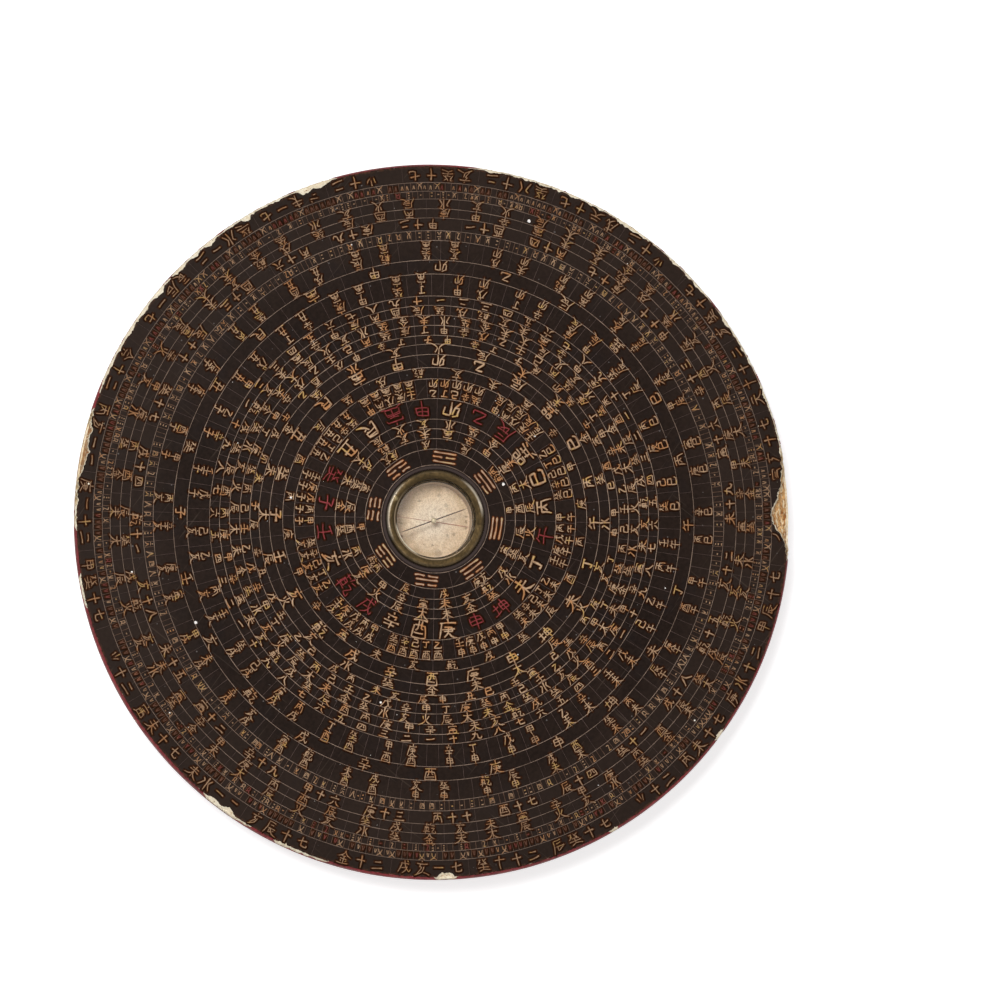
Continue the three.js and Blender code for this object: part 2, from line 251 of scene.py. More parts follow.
# Worn rim. A chip has two bearings, its reach in mm, what it goes into, and shares of the reach along it
thin = [0, 0.8, 1, 0.7, 0.95, 0.6, 1, 0.85, 0]
notch = [0, 0.75, 1, 0.9, 1, 0.5, 0]
rimChips = [
    (87, 98.4, 0.95, "coat", [0, 0.5, 1, 0.8, 0.6, 1, 0.9]),
    (97.6, 106.8, 1.1, "coat", thin),
    (104.4, 111.6, 1.25, "ground", [0, 0.5, 0.8, 0.6, 1, 0.7, 0.85, 0.6, 0]),
    (109.6, 121.6, 1.6, "ground", [0.3, 0.5, 0.55, 0.8, 1, 0.75, 0.6, 0.6, 0.5, 0.3]),
    (121.6, 133.6, 1.15, "coat", thin),
    (134.6, 148.6, 1.05, "coat", thin),
    (147, 161.8, 0.95, "coat", [0, 0.8, 0.7, 1, 0.8, 0.9, 1, 0.9]),
    (160.2, 178.4, 6.2, "wood", [0, 0.22, 0.3, 0.34, 0.45, 0.6, 0.75, 0.95, 1, 0.75, 0.45, 0.3, 0.12, 0]),
    (207.6, 210, 1.25, "ground", notch),
    (231, 232.6, 1.05, "ground", notch),
    (258.3, 261.9, 2.0, "ground", notch),
    (279, 286, 0.6, "coat", thin),
    (285.4, 288.4, 1.25, "ground", notch),
    (292.6, 301.8, 1.85, "ground", [0, 0.45, 0.35, 0.6, 1, 0.5, 0.85, 0.8, 0]),
    (337, 342.6, 0.75, "coat", thin),
    (349.4, 359.4, 1.15, "wood", [0, 0.7, 0.6, 0.9, 0.8, 1, 1]),
    (357.6, 369.4, 2.55, "wood", [0.3, 0.5, 0.7, 0.85, 1, 0.95, 0.7, 0.75, 0.6, 0.45, 0]),
    (372, 385.6, 1.0, "coat", [0, 0.6, 1, 0.7, 0.9, 1, 0.8]),
    (384.6, 393.8, 1.75, "ground", [0.3, 0.5, 0.7, 0.55, 0.6, 0.8, 1, 0.4, 0.3]),
    (393.8, 404.8, 1.4, "ground", thin),
    (404, 419, 0.85, "coat", thin),
    (408.4, 410.8, 1.7, "ground", notch),
    (418.4, 425.8, 2.4, "ground", [0, 0.9, 1, 0.75, 0.85, 0.7, 0.45, 0]),
]
rimWear = {
    "ragged": 0.3,  # mm of fine teeth on a broken edge
    "rubbed": 0.16,  # mm lost along the sound edge
    "rubbedMore": 0.2,  # mm more on the side that rests in the hand
    "rubbedBearing": 300,
    "groundShare": 0.93,  # how far in the ground broke away, beside the skin
    "coatLoss": 1.7,  # red skin lost down the edge beside a shallow chip
    "deepLoss": 4.6,  # and beside a deep one
    "groundDrop": 0.4,  # how far bare ground slopes down
    "woodDrop": 2.6,
    "fibre": 0.62,  # height of the torn fibres
    "grainBearing": 81.6,
}


def chipDepth(bearings, *kinds):
    depth = np.zeros(len(bearings))
    for start, end, reach, into, edge in rimChips:
        if into in kinds:
            along = (bearings - start) % 360 / (end - start)
            depth = np.maximum(depth, reach * np.interp(along, np.linspace(0, 1, len(edge)), edge, right=0))
    return depth


def raggedDepth(bearings, *kinds):  # a chip's depth with its broken teeth
    depth = chipDepth(bearings, *kinds)
    teeth = 0.6 * waver(11, 700, bearings) + 0.5 * waver(12, 1300, bearings)
    teeth += 0.7 * waver(13, 330, bearings)
    return np.maximum(depth + rimWear["ragged"] * teeth * np.clip(depth / 0.5, 0, 1.3), 0)


def skinEdge(bearings):  # outer edge of the black skin
    side = easeIn(0.5 + 0.9 * np.cos(np.radians(bearings - rimWear["rubbedBearing"])))
    rough = 0.5 + 0.3 * waver(14, 1000, bearings) + 0.2 * waver(20, 260, bearings)
    sound = faceRadius - (rimWear["rubbed"] + rimWear["rubbedMore"] * side) * rough
    return np.minimum(sound, discSize["radius"] - raggedDepth(bearings, "coat", "ground", "wood"))


def groundDepth(bearings):  # how far in the ground is broken away to the wood
    depth = rimWear["groundShare"] * raggedDepth(bearings, "wood") - 0.12 * (1 + waver(15, 500, bearings))
    return np.maximum(depth, 0)


def fibres(radius, bearings):  # torn wood, a little stretched along the grain
    across, along = radius * heading(bearings - rimWear["grainBearing"]).T
    return 0.5 * patches(21, across / 1.1, along / 2.4) + 0.75 * patches(22, across / 0.62, along / 0.95)


def woodSurface(radius, bearings):  # level of the wood, which slopes away in a deep chip
    depth = groundDepth(bearings)
    start = discSize["radius"] - depth
    share = np.clip((radius - start) / np.maximum(depth - 0.7, 0.5), 0, 1)
    deep = easeIn(depth / 1.4)
    slope = rimWear["woodDrop"] * deep * (0.35 * np.sqrt(share) + 0.65 * share)
    torn = rimWear["fibre"] * deep * easeIn(share * 5) * (1 + fibres(radius, bearings))
    return woodLevel - slope - torn


# Close rings of vertices near the rim, where the coats are broken
band = {
    "start": 101.3,
    "shares": np.linspace(1, 0, 26)[1:],
    "middleRing": 60,  # one more ring halfway to the bezel
    "undersideCount": 6,
}


def bandOutline(rim, level, shares):
    return [(band["start"] + (rim - band["start"]) * share, level) for share in shares]


def makeWood():
    inset = discSize["skin"] + discSize["ground"]
    edge = edgeOutline(inset, woodLevel, 12)
    rim = edge[-1][0]
    seat, low = bezelLow.z, floorLow.z
    bore = [(band["middleRing"], woodLevel), (bezelHole, woodLevel), (bezelHole, seat), (poolRadius, seat)]
    bore += [(poolRadius, low), (0, low)]

    def wornPlace(section, number, bearing, radius, level):
        onEdge, inBand = section == 1, section == 2
        top = woodSurface(np.full(len(bearing), rim + 0.3), bearing)
        edgeLevel = stretched(level, cornerLevel(inset), woodLevel, top)
        bandRadius = stretched(radius, band["start"], rim, radiusAt(edgeCircle, top, inset))
        edgeRadius = radiusAt(edgeCircle, edgeLevel, inset)
        newRadius = np.select([onEdge, inBand], [edgeRadius, bandRadius], radius)
        return newRadius, np.select([onEdge, inBand], [edgeLevel, woodSurface(bandRadius, bearing)], level)

    underside = undersideOutline(inset, band["undersideCount"])
    sections = [underside, edge, bandOutline(rim, woodLevel, band["shares"]), bore]
    return turnPiece("wood_body", sections, discSize["steps"], newPlace=wornPlace)


# Chalky ground between the wood and the skins
groundShape = {
    "lump": 0.12,
    "crackBelow": 0.08,  # how far it stays under the skins
    "cover": 0.45,  # least thickness at the rim
    "foot": 13,  # level where bare ground starts to be lumpy
}


def makeGround():
    skin, start, middle = discSize["skin"], band["start"], band["middleRing"]
    inset = skin + discSize["ground"]
    lump, count = groundShape["lump"], band["undersideCount"]
    edge = edgeOutline(skin, groundLevel, 10)
    innerEdge = edgeOutline(inset, woodLevel, 6)[::-1]
    rim, innerRim = edge[-1][0], innerEdge[0][0]
    sections = [
        undersideOutline(skin, count),
        edge,
        bandOutline(rim, groundLevel, band["shares"]),
        [(middle, groundLevel), (bezelHole, groundLevel), (bezelHole, woodLevel), (middle, woodLevel)],
        bandOutline(innerRim, woodLevel, band["shares"][::-3]),
        innerEdge,
        undersideOutline(inset, count)[::-1],
    ]

    def wornPlace(section, number, bearing, radius, level):
        bare = easeIn((raggedDepth(bearing, "coat", "ground") - 0.3) / 0.5)
        deep = easeIn(groundDepth(bearing) / 1.2)
        open = np.maximum(bare, deep)
        woodTop = woodSurface(np.full(len(bearing), rim), bearing)
        top = groundLevel - rimWear["groundDrop"] * bare * (1 + 0.4 * waver(16, 600, bearing))
        top = top * (1 - deep) + (woodTop - 0.1) * deep
        edgeLevel = stretched(level, cornerLevel(skin), groundLevel, top)
        lumps = (patches(23, bearing * 3.1, level * 1.7) - 1) * lump
        edgeRadius = fullEdge(edgeLevel) - skin
        edgeRadius = edgeRadius + (skin + lumps) * open * easeIn((level - groundShape["foot"]) / 3)
        shoulder = fullEdge(top) - skin * (1 - open) - groundShape["crackBelow"]
        bandRadius = stretched(radius, start, rim, shoulder)
        out = easeIn((bandRadius - skinEdge(bearing)) / 0.9)
        x, y = bandRadius * heading(bearing).T
        rough = lump * (patches(24, x / 0.7, y / 0.7) + 0.6 * patches(25, x / 1.9, y / 1.9))
        drop = rimWear["groundDrop"] * bare * out + groundShape["crackBelow"] + rough
        gone = bandRadius > discSize["radius"] - groundDepth(bearing)
        sunk = np.minimum(woodSurface(bandRadius, bearing) - 0.2, groundLevel)
        innerLevel = np.minimum(woodLevel, woodSurface(radius, bearing) - 0.4)
        innerTop = np.minimum(woodLevel, top - groundShape["cover"])
        upLevel = stretched(level, cornerLevel(inset), woodLevel, innerTop)
        inSections = [section == 1, section == 2, section == 4, section == 5]
        newRadius = [edgeRadius, bandRadius, radius, radiusAt(edgeCircle, upLevel, inset)]
        newLevel = [edgeLevel, np.where(gone, sunk, groundLevel - out * drop), innerLevel, upLevel]
        return np.select(inSections, newRadius, radius), np.select(inSections, newLevel, level)

    return turnPiece("ground_layer", sections, discSize["steps"], 50, wornPlace)


# Black skin of the face, with its raised bead round the bezel
faceShape = {
    "bandStart": 100, "bandCount": 14, "beadWidth": 1.25, "beadHeight": 0.35, "beadSteps": 8, "curl": 0.05,
    "rings": (18, 30, 45, 60, 75, 88),
}


def makeFaceSkin():
    width, height, steps = faceShape["beadWidth"], faceShape["beadHeight"], faceShape["beadSteps"]
    bead = swellCircle((bezelHole + width, 0), (bezelHole, 0), height)
    middle = [(bezelHole, groundLevel)]
    for radius in bezelHole + width * np.arange(steps + 1) / steps:
        rise = math.sqrt(bead[1] ** 2 - (radius - bezelHole - width / 2) ** 2) - bead[1] + height
        middle.append((radius, faceLevel + max(rise, 0)))
    middle += [(radius, faceLevel) for radius in faceShape["rings"]]
    start = faceShape["bandStart"]
    rim = [(radius, faceLevel) for radius in np.linspace(start, faceRadius - 0.05, faceShape["bandCount"])]
    rim += [(faceRadius, faceLevel - 0.06), (faceRadius - 0.03, groundLevel)]

    def wornPlace(section, number, bearing, radius, level):
        moving = section == 1
        newRadius = np.where(moving, stretched(radius, start, faceRadius, skinEdge(bearing)), radius)
        lift = faceShape["curl"] * easeIn((radius - faceRadius + 2) / 2) * waver(17, 400, bearing)
        chipped = chipDepth(bearing, "coat", "ground", "wood") > 0.2
        return newRadius, np.where(moving & chipped, level + np.minimum(lift, 0), level)

    sections = [middle, rim, [(band["middleRing"], groundLevel)]]
    return turnPiece("face_skin", sections, discSize["faceSteps"], newPlace=wornPlace)


# Red skin of the edge and the underside, with a thin lip that runs over on to the face
backShape = {
    "edgeCount": 18, "undersideCount": 22, "innerCount": 8,
    "lip": 0.6,
    "lipHeight": 0.14,
    "lipRise": [0.9, 1, 0.5],  # shares of its height, from the edge inwards
}


def makeBackSkin():
    skin = discSize["skin"]
    edge = edgeOutline(0, groundLevel, backShape["edgeCount"])
    rim = edge[-1][0]
    sections = [
        undersideOutline(0, backShape["undersideCount"]),
        edge,
        [(rim - inwards, groundLevel + rise) for inwards, rise in ((0.15, 0.1), (0.45, 0.12), (0.8, 0.06))],
        edgeOutline(skin, groundLevel, backShape["innerCount"])[::-1],
        undersideOutline(skin, backShape["innerCount"])[::-1],
    ]

    def wornPlace(section, number, bearing, radius, level):
        shallow = np.clip(raggedDepth(bearing, "coat", "ground") / 0.7, 0, 1.3)
        deep = easeIn(raggedDepth(bearing, "wood") / 0.9)
        loss = np.maximum(rimWear["coatLoss"] * shallow, rimWear["deepLoss"] * deep)
        loss = loss * (1 + 0.18 * waver(18, 420, bearing)) + 0.04 * (1 + waver(19, 800, bearing))
        sound = easeIn(1 - loss / 0.4)
        top = groundLevel - loss
        outLevel, inLevel = (stretched(level, cornerLevel(inset), groundLevel, top) for inset in (0, skin))
        order = np.minimum(number, 2)  # place along the lip
        share = (order + 1) / 3
        reach = backShape["lip"] * sound * (0.85 + 0.15 * waver(30, 640, bearing)) * share
        lipRadius = fullEdge(top) - 0.02 - reach - 0.2 * (1 - sound) * share
        lipLevel = top + 0.01 + backShape["lipHeight"] * sound * np.array(backShape["lipRise"])[order]
        inSections = [section == 1, section == 2, section == 3]
        newRadius = [fullEdge(outLevel), lipRadius, radiusAt(edgeCircle, inLevel, skin)]
        newLevel = [outLevel, lipLevel, inLevel]
        return np.select(inSections, newRadius, radius), np.select(inSections, newLevel, level)

    return turnPiece("back_skin", sections, discSize["steps"], newPlace=wornPlace)


# Brass bezel
bezelShape = {
    "inner": 12.0,
    "outerRound": 0.9,
    "innerEase": 0.3,
    "roundSteps": 7,
    "groove": 0.3,
    "grooveHeight": 1.0,
    "rubbedAndHighlightSpots": ((141.6, 0.9), (14, 0.6), (350, 0.4)),  # bearing and strength of rubbed brass with a painted highlight on it
    # where the painted highlight on the inner lip is strongest
    "lipHighlightBearing": 300,
    "seamBearing": 22.6,
    "seamWidth": 0.9,  # degrees
    "seamDepth": 0.07,
    "dent": 0.05,
    "steps": 720,
}


def makeBezel():
    outer, top, inner = bezelHigh.x, bezelHigh.z, bezelShape["inner"]
    corner, ease = bezelShape["outerRound"], bezelShape["innerEase"]
    turns = np.linspace(0, math.pi / 2, bezelShape["roundSteps"] + 1)
    outline = [(inner, bezelLow.z), (outer - 0.15, bezelLow.z), (outer, bezelLow.z + 0.15)]
    outline += [(outer - corner * (1 - math.cos(a)), top - corner * (1 - math.sin(a))) for a in turns]
    outline += [(inner + ease + 0.7, top - 0.03)]
    for a in turns[::2]:
        outline.append((inner + ease * (1 - math.sin(a)), top - 0.08 - ease * (1 - math.cos(a))))
    groove, grooveTop = inner + bezelShape["groove"], glassHigh.z + bezelShape["grooveHeight"]
    outline += [(inner, grooveTop + 0.3), (groove, grooveTop), (groove, glassHigh.z), (inner, glassHigh.z)]

    def wornPlace(section, number, bearing, radius, level):
        seam = np.abs((bearing - bezelShape["seamBearing"] + 180) % 360 - 180) / bezelShape["seamWidth"]
        slit = bezelShape["seamDepth"] * np.clip(1 - seam, 0, 1)
        uneven = bezelShape["dent"] * (waver(31, 17, bearing) + 0.4 * waver(32, 70, bearing))
        high = easeIn((level - top + 1.2) / 0.8)
        outside = (radius > inner + 1.4) & (level > bezelLow.z + 0.5)
        newRadius = radius + np.where(outside, np.minimum(uneven * high, 0) - slit, uneven * 0.6 * high)
        return newRadius, level - high * (slit + 0.02 * (1 + waver(33, 40, bearing)))

    return turnPiece("bezel", [outline], bezelShape["steps"], newPlace=wornPlace)


# Window glass, lying on its step, with a ground edge
glassShape = {"ease": 0.2, "lift": 0.02, "steps": 240}


def makeGlass():
    rim, ease, low = glassHigh.x, glassShape["ease"], glassLow.z + glassShape["lift"]
    outline = [(0, low), (rim - ease, low), (rim, glassLow.z + ease)]
    outline += [(rim, glassHigh.z - ease), (rim - ease, glassHigh.z), (0, glassHigh.z)]
    return turnPiece("window_glass", [outline], glassShape["steps"], 30)


# Spring wire that holds the glass down, open at the lower right of the photo's view
wireShape = {
    "radius": 0.31, "points": 180, "sag": 0.04,
    "splitBearing": 228, "gap": 0.7,
    # where the painted highlight on the wire is
    "wireHighlightBearing": 315,
}


def makeWire():
    radius, start = wireShape["radius"], wireShape["splitBearing"]
    ringRadius = wireHigh.x - radius - wireShape["sag"]
    halfGap = math.degrees(wireShape["gap"] / 2 / ringRadius)
    bearings = np.linspace(start + halfGap, start + 360 - halfGap, wireShape["points"])
    points = heading(bearings) * (ringRadius + wireShape["sag"] * waver(34, 9, bearings))[:, None]
    piece = curveMesh("spring_wire", [(points, np.full(len(points), radius))], wireLow.z + radius, 1, 3)
    return smoothByAngle(piece, 40)


# Strokes: curves with a half width at each point, made into a mesh and pressed down to a thin relief
def curveMesh(name, strokes, level, relief, roundness=0, cyclic=False):
    deselectAll()
    curve = bpy.data.curves.new(name, "CURVE")
    curve.dimensions = "3D"
    curve.twist_mode = "Z_UP"
    curve.bevel_depth = 1
    curve.bevel_resolution = roundness
    curve.use_fill_caps = True
    for points, halfWidths in strokes:
        spline = curve.splines.new("POLY")
        spline.points.add(len(points) - 1)
        places = np.zeros((len(points), 4), np.float32)
        places[:, :2] = np.asarray(points) * mm
        spline.points.foreach_set("co", places.ravel())
        spline.points.foreach_set("radius", (np.asarray(halfWidths) * mm).astype(np.float32))
        spline.use_cyclic_u = cyclic
    piece = bpy.data.objects.new(name, curve)
    bpy.context.scene.collection.objects.link(piece)
    pick(piece)
    bpy.ops.object.convert(target="MESH")
    piece = bpy.context.object
    places = placesOf(piece)
    places[:, 2] = level + places[:, 2] * relief
    setPlaces(piece, places)
    return piece


def spreadStrokes(strokes, margin):  # the same strokes, wider and longer
    wide = []
    for points, widths in strokes:
        first, last = points[0] - points[1], points[-1] - points[-2]
        before = points[:1] + first / np.hypot(*first) * margin
        after = points[-1:] + last / np.hypot(*last) * margin
        widths = np.concatenate([[margin], widths + margin, [margin]])
        wide.append((np.concatenate([before, points, after]), widths))
    return wide


# Card at the bottom of the pool
cardShape = {"hole": 0.5, "steps": 240, "rings": 9, "ease": 0.06, "warp": 0.05}  # the hole is for the pin


def makeCard():
    rim, hole, ease, low = floorHigh.x, cardShape["hole"], cardShape["ease"], floorLow.z + clearance
    radii = np.linspace(hole, rim - ease, cardShape["rings"])
    outline = [(hole, low)] + [(radius, floorHigh.z) for radius in radii]
    outline += [(rim, floorHigh.z - ease), (rim, low)]

    def warped(section, number, bearing, radius, level):
        x, y = radius * heading(bearing).T
        rise = cardShape["warp"] * (patches(41, x / 5, y / 5) - 1) * (level > floorLow.z + 0.2)
        return radius, level + rise

    return turnPiece("pool_card", [outline], cardShape["steps"], 30, warped)


# Needle blade: the solid's own shape, thinner beyond its middle and with its edges stoned off
bladeShape = {"slimmer": 0.18, "middle": 1.5, "stoned": 0.035}  # a share, then mm


def makeBlade():
    deselectAll()
    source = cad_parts["needle_blade"]
    piece = source.copy()
    piece.data = source.data.copy()
    piece.parent = None
    piece.name = "needle_steel_blade"
    for key in list(piece.keys()):
        del piece[key]
    bpy.context.scene.collection.objects.link(piece)
    pick(piece)
    bpy.ops.object.mode_set(mode="EDIT")
    bpy.ops.mesh.select_all(action="SELECT")
    bpy.ops.mesh.remove_doubles(threshold=1e-6)
    bpy.ops.mesh.dissolve_limited(angle_limit=math.radians(1))
    bpy.ops.object.mode_set(mode="OBJECT")
    bevel = piece.modifiers.new("stoned", "BEVEL")
    bevel.width = bladeShape["stoned"] * mm
    bevel.segments = 2
    bevel.limit_method = "ANGLE"
    bevel.angle_limit = math.radians(50)
    bpy.ops.object.modifier_apply(modifier="stoned")
    places = placesOf(piece)
    radius = np.hypot(places[:, 0], places[:, 1])
    along = places[radius.argmax(), :2]
    across = np.array([-along[1], along[0]]) / np.hypot(*along)
    slim = np.where(radius > bladeShape["middle"], bladeShape["slimmer"], 0)
    places[:, :2] -= (places[:, :2] @ across * slim)[:, None] * across
    setPlaces(piece, places)
    return smoothByAngle(piece, 30)


# Needle cap: a low dome over the eye, its skirt below with the cone for the pin
capShape = {
    "head": 0.85, "skirt": 0.8, "mouth": 0.55, "neck": 0.45, "ease": 0.05, "coneRoof": 0.35, "domeSteps": 8,
}


def makeCap():
    head, skirt, neck, ease = capShape["head"], capShape["skirt"], capShape["neck"], capShape["ease"]
    headLow, top = bladeHigh.z + ease, capHigh.z
    domeLow = headLow + 0.04
    outline = [(0, top - capShape["coneRoof"]), (capShape["mouth"], capLow.z), (skirt - ease, capLow.z)]
    outline += [(skirt, capLow.z + ease), (skirt, bladeLow.z - ease), (skirt - ease, bladeLow.z)]
    outline += [(neck, bladeLow.z), (neck, headLow), (head - 0.03, headLow), (head, domeLow)]
    for turn in np.linspace(0, math.pi / 2, capShape["domeSteps"] + 1)[1:-1]:
        outline.append((head * math.cos(turn), domeLow + (top - domeLow) * math.sin(turn)))
    return turnPiece("needle_brass_cap", [outline + [(0, top)]], 48, 35)


# Signs: strokes as pairs of digits, across and down a ten by ten square
signStrokes = {
    "一": "1584", "二": "2373 1887", "三": "2272 2565 1888",
    "四": "1217 128287 424426 626575 1787", "五": "2171 5148 247468 1898", "六": "5052 1383 4528 6588",
    "七": "1483 41478786", "八": "423518 516598", "九": "413618 1363678896", "十": "1484 5159",
    "甲": "2125 218185 2383 2585 5159", "乙": "227236288886", "丙": "1181 2328 238388 515436 5466",
    "丁": "1282 525837", "戊": "2282 322518 50658896 7448 7081", "己": "217174 2474 24288886",
    "庚": "5052 1292 221719 347476 2585 3676 545739 5789", "辛": "5051 2272 3334 7364 1595 2777 5559",
    "壬": "7122 1595 5258 2888", "癸": "1131 3114 2233 8162 5184 7374 3474 1696 545728 5798",
    "子": "217153 535838 1494", "丑": "217168 4138 2484 1898",
    "寅": "5051 1213 129293 3474 2528 258588 2686 2888 5458 3819 6899",
    "卯": "4112 1216 1636 423619 529286 5259", "辰": "2181 212519 4373 3595 454867 5599 8667",
    "巳": "218184 2484 21288896", "午": "3113 3282 1595 5259", "未": "2282 1494 5059 5418 5498",
    "申": "2226 228286 2484 2686 5059", "酉": "1191 2329 238389 414536 616575 2777 2989",
    "戌": "2282 322518 50658896 7448 7081 3555", "亥": "5051 1292 4234 345428 645719 6799",
    "乾": "1141 2022 1316 134346 1444 1646 0757 2329 6052 6292 6494689997",
    "坤": "0343 2127 0746 5256 529296 5494 5696 7079", "艮": "217174 2272 2474 212837 5598 7566",
    "巽": "104042 1242 101343 508082 5282 505393 2585 3437 6467 0797 3819 6889",
    "水": "5059 123318 816488", "木": "1393 5059 5319 5399", "火": "2235 8265 5054 5419 5499",
    "金": "5014 5094 3464 2676 5459 1989 3738 7768",
    "x": "2278 7228", "j": "2256 6226 2878", "h": "2272762622 3628 6688", "w": "227248 3878",
    "o": "3565", "p": "3363 3767", "q": "3262 3565 3868", "c": "3246 5672",
}
stems = "甲乙丙丁戊己庚辛壬癸"
branches = "子丑寅卯辰巳午未申酉戌亥"
numerals = "一二三四五六七八九十"
directions = "卯乙辰巽巳丙午丁未坤申庚酉辛戌乾亥壬子癸丑艮寅甲"  # clockwise from the dial's east
redDirections = "乙辰午坤申戌乾壬子癸寅甲"
cornerDirections = "巽坤乾艮"
dense = "癸寅酉亥庚戌辛辰未丙乾甲"
flared = "水未火癸木亥金辰"

hand = {
    "tilt": 2.6,  # degrees either way
    "shift": 0.1,  # mm either way
    "swell": 0.08,  # share of a sign's size, either way
    "wander": 0.26,  # of a stroke's points, in steps of the square
    "stroke": 0.16,  # share of a stroke's width, either way
    "bend": 0.05,
    "bow": 0.15,  # of a slanting stroke
    "flick": 1.15,  # how much longer a slanting stroke is
    "spread": 0.4,
    "few": 1.3,  # wider strokes in a simple sign
    "many": 0.9,
}
brushShares = {  # width along a stroke
    "level": (0.85, 0.75, 0.85, 1.2),
    "upright": (1.25, 1, 0.95, 0.6),
    "flare": (0.75, 1.0, 1.2, 0.5),
    "corner": (0.85, 1.05, 0.95, 0.8),
}
pen = {"main": 0.3, "large": 0.25, "middle": 0.18, "small": 0.155, "tiny": 0.12, "dot": 0.16, "comma": 0.1}
edgeMargin = {"signs": 0.35, "lines": 0.3}  # mm kept clear of the broken edge
soundRadius = 101  # no chip reaches in this far
handRandom = np.random.default_rng(5)


def rounded(spots):  # softens the corners of a stroke
    halfway = (spots[:-1] + spots[1:]) / 2
    corners = (spots[:-2] + 14 * spots[1:-1] + spots[2:]) / 16
    path = [spots[0], halfway[0]]
    for corner, middle in zip(corners, halfway[1:]):
        path += [corner, middle]
    return np.array(path + [spots[-1]])


def writeSign(strokes, sign, bearing, radius, width, height, nib):
    out = heading(bearing + handRandom.uniform(-1, 1) * hand["tilt"])
    right = np.array([-out[1], out[0]])
    centre = radius * heading(bearing) + handRandom.uniform(-1, 1, 2) * hand["shift"]
    size = np.array([width, height]) * (1 + handRandom.uniform(-1, 1, 2) * hand["swell"])
    marks = signStrokes[sign].split()
    spread = hand["spread"] * min(1, 3 / width)  # small signs open out towards the rim
    halfStroke = pen[nib] * (hand["few"] if len(marks) < 4 else hand["many"] if len(marks) > 6 else 1)
    for mark in marks:
        digits = np.array([int(d) for d in mark], float).reshape(-1, 2)
        spots = digits + handRandom.uniform(-1, 1, digits.shape) * hand["wander"]
        spots = (spots - (4.9, 4.6)) / 8.6 * size
        spots[:, 0] *= 1 - spread / 2 + spread * (digits[:, 1] / 9) ** 2
        shape = brushShares["corner"]
        if len(spots) > 2:
            spots = rounded(spots)
        else:
            step = spots[1] - spots[0]
            slant = abs(step[0]) > 0.22 * width and abs(step[1]) > 0.22 * height
            shape = brushShares["flare" if slant else "level" if abs(step[0]) > abs(step[1]) else "upright"]
            bend = hand["bow"] * math.copysign(1, step[0] * step[1]) if slant else 0
            bend = (bend + handRandom.uniform(-1, 1) * hand["bend"]) * np.array([-step[1], step[0]])
            end = spots[0] + step * (hand["flick"] if slant else 1)
            spots = np.array([spots[0], spots[0] + step * 0.35 + bend, spots[0] + step * 0.7 + bend, end])
        widths = np.interp(np.linspace(0, 1, len(spots)), np.linspace(0, 1, len(shape)), shape)
        widths = widths * (1 + handRandom.uniform(-1, 1, len(spots)) * hand["stroke"])
        strokes.append((centre + spots[:, :1] * right + spots[:, 1:] * out, widths * halfStroke))


def onSkin(strokes):  # leaves out what broke off with the rim
    kept = []
    for points, widths in strokes:
        bearings = np.degrees(np.arctan2(points[:, 0], points[:, 1])) % 360
        radii = np.hypot(*points.T)
        if radii.max() < soundRadius or np.all(radii < skinEdge(bearings) - edgeMargin["signs"]):
            kept.append((points, widths))
    return kept


def take(signs, number):  # goes round and round a row of signs
    return signs[number % len(signs)]


ringNames = [
    "signs_inner", "signs_main", "signs_main_red", "signs_sixty", "signs_half", "signs_columns_inner",
    "signs_columns_outer", "signs_degrees", "marks_gold", "marks_red", "marks_brown",
]


